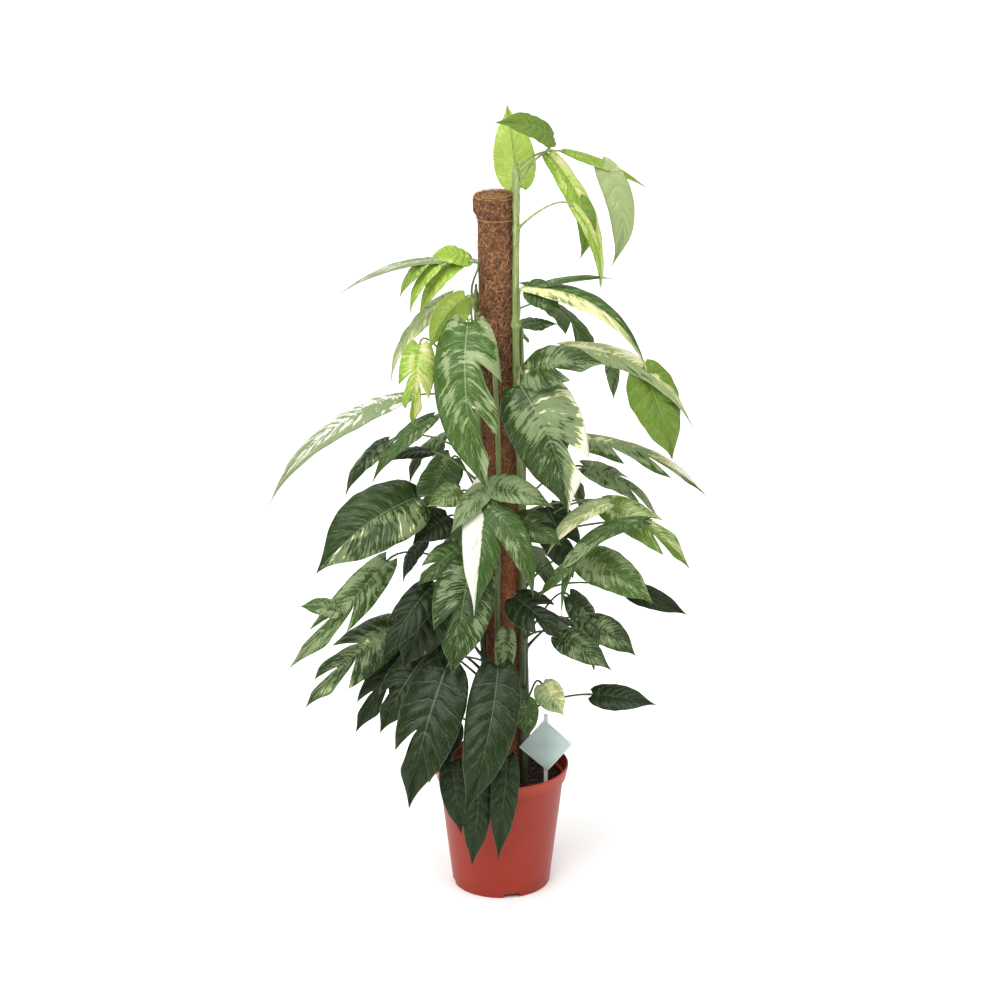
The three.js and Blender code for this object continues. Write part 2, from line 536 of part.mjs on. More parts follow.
// Each leaf: height on the stem, blade base, blade tip, width, arch, bow, upper face, cuts.
// A lobe has no petiole: its base is a share of the midrib of the leaf before it.
const FRONT = [0, -1, 0.35];
const UP = [0, -0.25, 1];
const UP_FRONT = [0, -0.7, 0.7];
const LEFT_UP = [-0.6, -0.4, 0.8];
const BACK = [0, 1, 0.2];
const LEAVES = {
  stem_right_front: [
    [1085, [24, -6, 1112], [8, 15, 1229], 64, 0.06, 0, BACK, "whole"],
    [1130, [75, -10, 1185], [-10, -60, 1215], 52, 0.14, 0, UP_FRONT, "whole"],
    [1115, [70, 5, 1156], [145, -24, 964], 46, 0.1, 0.04, [0.8, -0.8, 0.3], "left"],
    [1115, 0.36, [115, -34, 1010], 30, 0.1, 0.12, [0, -1, 0.5], "lobe"],
    [1140, [95, 25, 1157], [217, 40, 1099], 20, 0.03, 0.03, [0.2, -0.6, 0.8], "whole"],
    [1140, 0.42, [164, 20, 987], 44, 0.1, 0.13, [0.2, -1, 0.3], "lobe"],
    [1050, [105, -45, 1090], [145, -60, 970], 26, 0.14, 0, [0.8, -0.7, 0.3], "whole"],
    [910, [35, -40, 970], [215, -60, 845], 44, 0.22, 0, [0.2, -0.5, 1], "whole"],
    [910, 0.02, [87, -62, 941], 44, 0.1, 0, [0.1, -0.9, 0.4], "lobe"],
    [910, 0.06, [163, -50, 984], 15, 0.08, 0, [0, -0.6, 1], "lobe"],
    [840, [34, -85, 850], [150, -125, 875], 76, 0.14, 0, UP_FRONT, "left"],
    [800, [27, -94, 835], [98, -132, 650], 120, 0.14, 0.09, [-0.25, -1, 0.4], "right"],
    [570, [20, -80, 625], [90, -120, 595], 58, 0.12, 0, UP_FRONT, "right"],
    [610, [162, -70, 646], [68, -115, 579], 28, 0.16, -0.08, UP_FRONT, "whole"],
    [560, [215, -72, 618], [90, -130, 487], 26, 0.14, -0.2, UP_FRONT, "whole"],
    [560, 0.62, [55, -125, 515], 20, 0.1, 0, UP_FRONT, "lobe"],
    [560, 0.45, [87, -118, 554], 20, 0.08, 0, UP_FRONT, "lobe"],
    [480, [20, -80, 500], [90, -145, 455], 70, 0.1, 0, UP_FRONT, "pair"],
    [410, [85, -80, 440], [165, -125, 400], 50, 0.1, 0, UP_FRONT, "whole"],
    [330, [36, -88, 339], [41, -105, 282], 40, 0.06, 0, FRONT, "whole"],
    [300, [62, -75, 358], [95, -95, 315], 46, 0.04, 0, FRONT, "whole"],
    [285, [140, -60, 335], [235, -90, 330], 46, 0.06, 0, UP_FRONT, "whole"],
  ],
  stem_right_back: [
    [885, [30, 40, 890], [85, 85, 880], 44, 0.08, 0, UP, "whole"],
    [800, [92, 0, 868], [286, -20, 749], 46, 0.2, 0, [0.3, -0.5, 0.9], "whole"],
    [800, 0.28, [167, -15, 791], 26, 0.06, 0, [0.5, -0.8, 0.4], "lobe"],
    [800, 0.5, [256, -30, 701], 86, 0.08, 0, [0.4, -0.8, 0.5], "lobe"],
    [680, [115, 0, 725], [310, 0, 635], 50, 0.14, 0, [0.2, -0.6, 0.9], "lefts"],
    [620, [125, 20, 675], [240, 45, 585], 52, 0.12, 0, [0.3, -0.5, 1], "pair"],
    [560, [155, -20, 628], [285, -35, 530], 62, 0.16, 0, [0.2, -0.8, 0.8], "pair"],
    [480, [120, -18, 543], [231, -40, 475], 70, 0.16, 0, UP_FRONT, "whole"],
    [380, [135, -32, 445], [205, -52, 395], 50, 0.12, 0, UP_FRONT, "whole"],
    [400, [105, 10, 470], [150, 35, 365], 52, 0.12, 0, [0.7, -0.7, 0.4], "right"],
    [590, [70, 20, 610], [110, 5, 500], 72, 0.1, 0, [0.3, -1, 0.5], "right"],
    [450, [195, 25, 474], [286, 10, 439], 38, 0.1, 0, [0.1, -0.8, 0.6], "whole"],
  ],
  stem_front: [
    [865, [-49, -75, 924], [-20, -150, 690], 112, 0.12, -0.05, [-0.1, -1, 0.3], "rights"],
    [650, [-20, -92, 686], [-40, -175, 505], 64, 0.12, 0, FRONT, "whole"],
    [650, 0.02, [77, -135, 659], 48, 0.14, 0, [0.2, -0.8, 0.6], "lobe"],
    [650, 0.14, [47, -165, 530], 46, 0.12, 0.06, [0.3, -1, 0.35], "lobe"],
    [650, 0.03, [-74, -150, 624], 40, 0.12, 0, [-0.3, -0.9, 0.4], "lobe"],
    [530, [-47, -118, 569], [-73, -185, 414], 96, 0.1, 0, FRONT, "left"],
    [380, [-5, -120, 405], [-56, -195, 196], 82, 0.08, 0.04, FRONT, "whole"],
    [410, [8, -70, 445], [2, -95, 360], 34, 0.06, 0, FRONT, "whole"],
    [250, [10, -125, 260], [-5, -150, 100], 44, 0.06, 0, FRONT, "whole"],
    [240, [-32, -125, 215], [-45, -150, 90], 44, 0.06, 0, FRONT, "whole"],
    [360, [-83, -110, 398], [-139, -170, 195], 104, 0.1, 0, [-0.3, -1, 0.35], "left"],
    [245, [-75, -118, 248], [-61, -142, 139], 48, 0.06, 0, FRONT, "whole"],
  ],
  stem_left_front: [
    [890, [-52, -46, 956], [-105, -75, 884], 62, 0.12, 0, [-0.2, 0.8, 0.5], "whole"],
    [800, [-120, -60, 887], [-132, -75, 767], 56, 0.1, 0, FRONT, "few"],
    [740, [-100, -70, 780], [-190, -110, 690], 40, 0.12, 0, UP, "left"],
    [660, [-105, -50, 720], [-170, -80, 712], 36, 0.1, 0, UP, "whole"],
    [600, [-125, -60, 652], [-275, -120, 552], 112, 0.18, 0, UP_FRONT, "whole"],
    [620, [-60, -70, 665], [-110, -95, 648], 44, 0.1, 0, UP_FRONT, "whole"],
    [560, [-80, -55, 620], [-132, -88, 588], 58, 0.1, 0, UP_FRONT, "whole"],
    [530, [-62, -80, 580], [-125, -115, 530], 52, 0.1, 0, UP_FRONT, "pair"],
    [470, [-105, -85, 520], [-178, -148, 425], 56, 0.12, 0, UP_FRONT, "left"],
    [420, [-66, -50, 480], [-118, -72, 345], 80, 0.08, 0, [-0.4, -1, 0.5], "left"],
    [340, [-115, -45, 395], [-185, -80, 280], 78, 0.1, 0, [-0.4, -1, 0.5], "left"],
    [250, [-75, -60, 290], [-110, -110, 210], 56, 0.1, 0, [-0.4, -1, 0.5], "whole"],
    [380, [-93, -62, 505], [-148, -82, 387], 92, 0.1, 0, [-0.3, -1, 0.4], "left"],
  ],
  stem_left_back: [
    [930, [-42, -25, 1005], [-243, -40, 954], 24, 0.12, 0, [0, -0.3, 1], "whole"],
    [930, 0.02, [-108, -22, 1004], 44, 0.22, 0, [0, -0.5, 1], "lobe"],
    [930, 0.3, [-149, -40, 953], 28, 0.12, 0, [-0.5, -0.5, 0.8], "lobe"],
    [930, 0.2, [-134, -45, 930], 30, 0.14, 0, [-0.6, -0.5, 0.7], "lobe"],
    [930, 0.06, [-120, -30, 917], 40, 0.16, 0, [-0.6, -0.5, 0.7], "lobe"],
    [880, [-75, 5, 945], [-165, -5, 815], 56, 0.14, 0, [-0.8, -0.3, 0.7], "left"],
    [760, [-145, -20, 795], [-350, -40, 630], 48, 0.16, 0, [-0.2, -0.5, 1], "whole"],
    [680, [-170, 5, 720], [-235, -15, 640], 46, 0.12, 0, LEFT_UP, "whole"],
    [480, [-175, 0, 530], [-325, -40, 370], 60, 0.12, 0.05, UP_FRONT, "pair"],
    [480, 0.45, [-307, -30, 466], 36, 0.14, 0, [0, -0.6, 0.8], "lobe"],
    [480, 0.25, [-220, -20, 474], 30, 0.08, 0, [0, -0.8, 0.6], "lobe"],
    [480, 0.62, [-270, -50, 417], 22, 0.08, 0, [0, -0.8, 0.6], "lobe"],
    [390, [-160, -10, 430], [-300, -50, 310], 84, 0.14, 0, UP_FRONT, "few"],
    [340, [-150, -5, 385], [-225, -30, 260], 62, 0.1, 0, UP_FRONT, "pair"],
    [510, [-115, 10, 565], [-150, 5, 495], 42, 0.1, 0, LEFT_UP, "whole"],
    [640, [-75, 15, 690], [-125, 15, 570], 74, 0.1, 0, [-0.5, -0.8, 0.5], "pair"],
  ],
  stem_back: [],
};

// The leaves at the back fan out from their stem by a rule, from low to high.
// A pair is the least value and how far it may go above it.
const FAN = {
  count: 12, low: 330, high: 920, turns: [90, 38, 142, 64, 116], jitter: 10,
  near: [78, 22], length: [120, 70], drop: [0.55, 0.3], width: [0.48, 0.12], lift: 45, arch: 0.13,
  middle: 12, slope: 0.7,
  forms: ["few", "right", "lefts", "left", "rights"],
};

function fanBackLeaves(random) {
  const draw = ([least, spread]) => least + spread * random();
  for (let i = 0; i < FAN.count; i += 1) {
    const at = FAN.low + ((FAN.high - FAN.low) * i) / FAN.count;
    const angle = radians(FAN.turns[i % FAN.turns.length] + FAN.jitter * (random() - 0.5));
    const near = draw(FAN.near);
    const length = draw(FAN.length);
    const drop = draw(FAN.drop) * length;
    const far = near + Math.sqrt(length * length - drop * drop);
    const top = at + FAN.lift;
    const away = [Math.cos(angle), Math.sin(angle)];
    const spot = (reach, height) => [reach * away[0], FAN.middle + reach * away[1], height];
    const face = [FAN.slope * away[0], FAN.slope * away[1], FAN.slope];
    const form = FAN.forms[i % FAN.forms.length];
    const width = length * draw(FAN.width);
    LEAVES.stem_back.push([at, spot(near, top), spot(far, top - drop), width, FAN.arch, 0, face, form]);
  }
}

function makeStem(name, random) {
  const stem = STEMS[name];
  let solid = solidOf(bar(stemCurve(stem), stem.radius, STEM_SIDES, STEM_STEPS));
  let parent = null;
  for (const [at, start, tip, width, arch, bow, face, form] of LEAVES[name]) {
    const isLobe = form === "lobe";
    const base = isLobe ? bladeLine(parent).curve.getPoint(start).toArray() : start;
    const leaf = { at, base, tip, width, arch, bow, face, form, phase: 6 * random() };
    solid = solid.add(solidOf(makeBlade(leaf)));
    if (isLobe) continue;
    solid = solid.add(solidOf(makePetiole(leaf, stem)));
    parent = leaf;
  }
  return geometryOf(solid);
}

// A repeatable stream of numbers between 0 and 1.
function seeded(seed) {
  let state = seed;
  return () => {
    state = (state * 1664525 + 1013904223) % 4294967296;
    return state / 4294967296;
  };
}

const random = seeded(SEED);
fanBackLeaves(random);
const potPlastic = material(0xa8503c, 0.45);
const coir = material(0x7a4a2c, 0.95);
const leafGreen = material(0x4d6b38, 0.45);

addPart("pot", makePot(), potPlastic);
addPart("soil", makeSoil(), material(0x2a1c18, 0.95));
addPart("stake", makeStake(), material(0x9a7b55, 0.8));
addPart("tag_card", makeCard(), material(0xc4d2cd, 0.5));
addPart("tag_stick", makeTagStick(0), material(0xe4e6e2, 0.5));
addPart("fibre_wrap", makeFibreWrap(), coir);
TWINE_HEIGHTS.forEach((height, i) => addPart(`twine_${i + 1}`, makeTwine(height), coir));
Object.keys(STEMS).forEach((name) => {
  if (LEAVES[name].length) addPart(name, makeStem(name, random), leafGreen);
});

export default part;
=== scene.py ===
# %% [markdown]
# A climbing plant in a pot, dressed around a plain frame.
# The frame holds the real sizes: the pot, the soil, the pole, the tag and six leafy stems, all faceted.
# Each of them is replaced here by a finer piece on the same sizes, with its own surface.

# %% Load the frame
import math
import random

import bpy
import numpy as np
from mathutils import Matrix, Vector, noise


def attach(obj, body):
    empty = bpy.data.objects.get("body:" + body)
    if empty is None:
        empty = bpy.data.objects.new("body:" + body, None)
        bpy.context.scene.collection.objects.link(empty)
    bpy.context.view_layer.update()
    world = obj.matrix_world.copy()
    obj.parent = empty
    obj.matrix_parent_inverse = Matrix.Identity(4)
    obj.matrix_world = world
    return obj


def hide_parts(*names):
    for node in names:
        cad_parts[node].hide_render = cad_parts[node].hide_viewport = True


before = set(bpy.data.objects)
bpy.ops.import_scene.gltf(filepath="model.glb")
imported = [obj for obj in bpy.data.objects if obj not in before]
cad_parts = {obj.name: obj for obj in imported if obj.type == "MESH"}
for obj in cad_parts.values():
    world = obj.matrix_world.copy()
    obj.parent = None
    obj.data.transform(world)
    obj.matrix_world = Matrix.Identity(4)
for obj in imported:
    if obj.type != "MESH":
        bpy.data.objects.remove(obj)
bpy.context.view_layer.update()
bpy.ops.object.select_all(action="DESELECT")
print("nodes", sorted(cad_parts))

# %% [markdown]
# Pots and poles are sold by the millimetre, and Blender works in metres.
# So places are written in millimetres, and one factor turns them into metres.
# Vectors are rows of numpy, because a leaf has hundreds of points that bend by the same rule.

# %% Units and vectors
MM = 0.001
UPRIGHT = np.array([0.0, 0.0, 1.0])


def unit(vectors):
    vectors = np.asarray(vectors, float)
    return vectors / np.maximum(np.linalg.norm(vectors, axis=-1, keepdims=True), 1e-12)


def mix(low, high, share):
    return low + (high - low) * share


def smooth(low, high, value):
    share = np.clip((np.asarray(value, float) - low) / (high - low), 0, 1)
    return share * share * (3 - 2 * share)


print("one millimetre is", MM, "of Blender's units")

# %% [markdown]
# Blender's operators act on what is selected and active, so a script has to say it each time.
# These helpers select one piece, apply a modifier, join pieces, and move a piece's place into its mesh.
# The last one matters most: every finished piece has to sit at the origin, as the plain ones do.


# %% Helpers for pieces
def only(piece):
    """Makes one object the selected and active one."""
    bpy.ops.object.select_all(action="DESELECT")
    piece.select_set(True)
    bpy.context.view_layer.objects.active = piece


def finish_modifier(piece, modifier):
    only(piece)
    bpy.ops.object.modifier_apply(modifier=modifier.name)


def join(pieces, name):
    only(pieces[0])
    for piece in pieces[1:]:
        piece.select_set(True)
    bpy.ops.object.join()
    joined = bpy.context.object
    joined.name = name
    joined.data.name = name
    return joined


def place_in_mesh(piece):
    """Moves an object's place and turn into its mesh, so that the object sits at the origin."""
    only(piece)
    bpy.ops.object.transform_apply(location=True, rotation=True, scale=True)
    return piece


# %% [markdown]
# The photograph looks slightly down at the pot from in front, from about two metres up.
# Camera height, distance and tilt come from the ellipses of the pot's rim and foot in the photograph.
# The floor is one large plane, a hair below the pot so that the two never share a face.

# %% Camera and floor
CAMERA_PLACE = (-0.002, -4.064, 1.936)
CAMERA_TILT = math.radians(17.84)
FOCAL_PIXELS = 2813
PHOTO_WIDTH = 1000
SENSOR = 36.0
FLOOR_SIZE = 60
FLOOR_DROP = 0.0005

scene = bpy.context.scene
bpy.ops.object.camera_add(location=CAMERA_PLACE, rotation=(math.pi / 2 - CAMERA_TILT, 0, 0))
camera = bpy.context.object
camera.data.sensor_width = SENSOR
camera.data.lens = FOCAL_PIXELS / PHOTO_WIDTH * SENSOR
camera.data.clip_end = 50
scene.camera = camera

bpy.ops.mesh.primitive_plane_add(size=FLOOR_SIZE, location=(0, 0, -FLOOR_DROP))
floor = place_in_mesh(bpy.context.object)
floor.name = "studio_floor"
print("camera at", CAMERA_PLACE, "with a lens of", round(camera.data.lens, 1), "mm")

# %% [markdown]
# The photograph has soft shadows that fall to the right and back, and no side of the plant is dark.
# Three suns as wide as softboxes do this: a strong one from the left, weak ones from the right and behind.
# A white room fills the rest. It is brighter overhead, so that leaves darken downwards as they do indoors.

# %% Lamps and room
ROOM_LOW, ROOM_HIGH = 0.2, 0.7
EXPOSURE = 0.24
GAMMA = 0.88
# A lamp: the angles that it is turned by, its width as an angle, and its power.
LAMPS = {
    "left_light": ((40, 0, -36), 60, 2.3),
    "right_light": ((46, 0, 54), 60, 0.75),
    "back_light": ((-46, 0, 10), 60, 0.6),
}


def sun(name, turn, spread, power):
    """A far lamp as wide as the sky seen through a large softbox."""
    bpy.ops.object.light_add(type="SUN", rotation=[math.radians(angle) for angle in turn])
    light = bpy.context.object
    light.name = name
    light.data.angle = math.radians(spread)
    light.data.energy = power


def studio_room(low, high):
    """A white room that is bright overhead and dimmer near the floor, as under a large ceiling light."""
    world = bpy.data.worlds.new("studio_room")
    world.use_nodes = True
    nodes = world.node_tree.nodes
    links = world.node_tree.links
    split = nodes.new("ShaderNodeSeparateXYZ")
    links.new(nodes.new("ShaderNodeTexCoord").outputs["Generated"], split.inputs[0])
    rise = nodes.new("ShaderNodeMapRange")
    links.new(split.outputs["Z"], rise.inputs["Value"])
    rise.inputs["To Min"].default_value = low
    rise.inputs["To Max"].default_value = high
    links.new(rise.outputs[0], nodes["Background"].inputs["Strength"])
    nodes["Background"].inputs["Color"].default_value = (1, 1, 1, 1)
    return world


for name, lamp in LAMPS.items():
    sun(name, *lamp)
scene.world = studio_room(ROOM_LOW, ROOM_HIGH)
scene.view_settings.view_transform = "Standard"
scene.view_settings.exposure = EXPOSURE
scene.view_settings.gamma = GAMMA
print("lamps", list(LAMPS))

# %% [markdown]
# A material is a sum of masks and colours, so it reads best as sums.
# `Wire` wraps a number socket: adding, multiplying or subtracting wires adds the Math nodes.
# Node by node the same sums would take pages, and a slip in one link would be hard to see.


# %% Sums of sockets
def srgb(red, green, blue):
    """A colour given as 0 to 255, as the linear colour that a node wants."""
    shares = [value / 255 for value in (red, green, blue)]
    return tuple(c / 12.92 if c <= 0.04045 else ((c + 0.055) / 1.055) ** 2.4 for c in shares) + (1.0,)


class Wire:
    """A number socket that can be written in sums."""

    def __init__(self, paint, socket):
        self.paint = paint
        self.socket = socket

    def maths(self, operation, *others):
        return self.paint.node("ShaderNodeMath", {"operation": operation}, dict(enumerate((self,) + others)))

    def __add__(self, other):
        return self.maths("ADD", other)

    def __sub__(self, other):
        return self.maths("SUBTRACT", other)

    def __mul__(self, other):
        return self.maths("MULTIPLY", other)

    def __truediv__(self, other):
        return self.maths("DIVIDE", other)

    def __pow__(self, other):
        return self.maths("POWER", other)

    def __rsub__(self, other):
        return self.paint.node("ShaderNodeMath", {"operation": "SUBTRACT"}, {0: other, 1: self})

    __radd__ = __add__
    __rmul__ = __mul__

    def size(self):
        return self.maths("ABSOLUTE")

    def most(self, other):
        return self.maths("MAXIMUM", other)

    def least(self, other):
        return self.maths("MINIMUM", other)

    def step(self, low, high):
        """0 below low, 1 above high, and smooth between."""
        settings = {"interpolation_type": "SMOOTHSTEP"}
        return self.paint.node("ShaderNodeMapRange", settings, {"Value": self, 1: low, 2: high})


# %% [markdown]
# `Paint` holds one material, and its `node` makes any node from a type, its settings and its sockets.
# Nodes that come back again and again, such as noise, a mix of two colours or a bump, get their own names.


# %% Materials by their nodes
class Paint:
    """A material whose nodes are added by their type."""

    def __init__(self, name):
        self.material = bpy.data.materials.new(name)
        self.material.use_nodes = True
        self.tree = self.material.node_tree
        self.surface = self.tree.nodes["Principled BSDF"]
        self.output = self.tree.nodes["Material Output"]

    def node(self, kind, settings=None, inputs=None, out=0):
        node = self.tree.nodes.new(kind)
        for name, value in (settings or {}).items():
            setattr(node, name, value)
        self.feed(node, inputs or {})
        socket = node.outputs[out]
        return Wire(self, socket) if socket.type == "VALUE" else socket

    def feed(self, node, inputs):
        for name, value in inputs.items():
            value = value.socket if isinstance(value, Wire) else value
            if isinstance(value, bpy.types.NodeSocket):
                self.tree.links.new(value, node.inputs[name])
            else:
                node.inputs[name].default_value = value

    def place(self):
        return self.node("ShaderNodeTexCoord", out="Object")

    def parts(self, vector):
        split = self.tree.nodes.new("ShaderNodeSeparateXYZ")
        self.tree.links.new(vector, split.inputs[0])
        return [Wire(self, socket) for socket in split.outputs]

    def vector(self, x, y, z):
        return self.node("ShaderNodeCombineXYZ", None, {0: x, 1: y, 2: z})

    def stretched(self, vector, scale):
        return self.node("ShaderNodeVectorMath", {"operation": "MULTIPLY"}, {0: vector, 1: scale})

    def noise(self, vector, scale, detail=3.0, rough=0.55):
        inputs = {"Vector": vector, "Scale": scale, "Detail": detail, "Roughness": rough}
        return self.node("ShaderNodeTexNoise", None, inputs, out="Fac")

    def cells(self, vector, scale):
        return self.node("ShaderNodeTexVoronoi", None, {"Vector": vector, "Scale": scale}, out="Distance")

    def colour(self, share, low, high):
        """A colour between low and high, by share."""
        return self.node("ShaderNodeMix", {"data_type": "RGBA"}, {0: share, 6: low, 7: high}, out=2)

    def attribute(self, name, out):
        return self.node("ShaderNodeAttribute", {"attribute_name": name}, out=out)

    def bump(self, height, distance, strength=1.0):
        inputs = {"Height": height, "Distance": distance, "Strength": strength}
        self.feed(self.surface, {"Normal": self.node("ShaderNodeBump", None, inputs)})

    def finish(self, **inputs):
        self.feed(self.surface, {name.replace("_", " ").title(): value for name, value in inputs.items()})
        return self.material


# %% [markdown]
# Bark, coir bits, twine, wood and the label's pick differ only in two colours, their gloss and their grain.
# So one function paints all of them: the grain mixes the colours and also raises the surface a little.


# %% One plain finish for the small pieces
def plain_finish(name, dark, pale, roughness, scale, bump, stretch=None, detail=3.0):
    """A surface with one grain, dark to pale, which may be drawn out along an axis."""
    paint = Paint(name)
    place = paint.stretched(paint.place(), stretch) if stretch else paint.place()
    grain = paint.noise(place, scale, detail)
    paint.bump(grain, *bump)
    return paint.finish(base_color=paint.colour(grain, srgb(*dark), srgb(*pale)), roughness=roughness)


# %% [markdown]
# The floor is matt and nearly white, with a very faint unevenness, so that only the pot's soft shadow shows.


# %% Floor finish
def coat(piece, *finishes):
    for finish in finishes:
        piece.data.materials.append(finish)


paint = Paint("studio_paper")
grain = paint.noise(paint.place(), 3.0)
paper = paint.colour(grain, srgb(248, 248, 247), srgb(251, 251, 251))
coat(floor, paint.finish(base_color=paper, roughness=0.9))
print("floor finish nodes", len(paint.tree.nodes))

# %% [markdown]
# No two leaves of an albo plant are alike: sage, cream and white patches come in any share, or fill one half.
# Young leaves at the top are lime, old ones low down are deep green.
# So a look is a row of six numbers, and a leaf only names its look.

# %% The looks of the leaves
# A look: its tone (0 dark, 1 lime), the shares of sage, cream and white, which half is paler, which edge is.
LOOKS = {
    "lime": (1.0, 0.34, 0.03, 0.0, 0.0, 0.0),
    "fresh": (0.84, 0.36, 0.06, 0.0, 0.0, 0.0),
    "deep_lime": (0.68, 0.12, 0.0, 0.0, 0.0, 0.0),
    "fresh_mid": (0.52, 0.46, 0.12, 0.0, 0.0, 0.3),
    "lime_cream": (0.92, 0.50, 0.28, 0.06, 0.3, 0.0),
    "chartreuse": (0.62, 0.42, 0.22, 0.02, 0.0, 0.5),
    "pale_green": (0.52, 0.78, 0.38, 0.20, 0.3, 0.0),
    "soft_green": (0.58, 0.84, 0.10, 0.02, 0.0, 0.5),
    "grey_pale": (0.28, 0.90, 0.34, 0.42, 0.0, -0.3),
    "low_sage": (0.14, 0.32, 0.08, 0.02, 0.45, 0.0),
    "edge_white": (0.36, 0.72, 0.30, 0.14, 0.2, 1.0),
    "low_cream": (0.46, 0.50, 0.34, 0.10, -0.5, 0.0),
    "half_white": (0.34, 0.40, 0.30, 0.34, -1.0, 0.0),
    "sage": (0.30, 0.56, 0.14, 0.02, 0.0, 0.0),
    "mid": (0.34, 0.32, 0.06, 0.0, 0.0, 0.0),
    "mid_sage": (0.40, 0.46, 0.10, 0.03, 0.0, 0.0),
    "mid_cream": (0.50, 0.44, 0.14, 0.02, 0.0, 0.45),
    "edge_cream": (0.05, 0.06, 0.03, 0.0, 0.0, 0.3),
    "edge_sage": (0.20, 0.50, 0.14, 0.04, 0.3, 0.9),
    "grey_dark": (0.16, 0.38, 0.04, 0.0, 0.0, 0.0),
    "grey_mid": (0.22, 0.47, 0.08, 0.01, 0.0, 0.0),
    "dark": (0.04, 0.06, 0.02, 0.0, 0.0, 0.0),
    "dark_streak": (0.12, 0.42, 0.14, 0.03, 0.0, 0.0),
}
print("looks", len(LOOKS))

# %% [markdown]
# Each leaf is one row: where it leaves its stem, where the blade starts and ends, how wide and arched it is.
# The frame's leaves come from the same rows, so every fine leaf lies on its plain one.
# A lobe has no petiole: its base is a share of the midrib of the leaf before it.
# The words FRONT, UP and so on say which way the upper face looks, and the last word names the leaf's look.

# %% The leaf table
FRONT = (0, -1, 0.35)
UP = (0, -0.25, 1)
UP_FRONT = (0, -0.7, 0.7)
LEFT_UP = (-0.6, -0.4, 0.8)
BACK = (0, 1, 0.2)

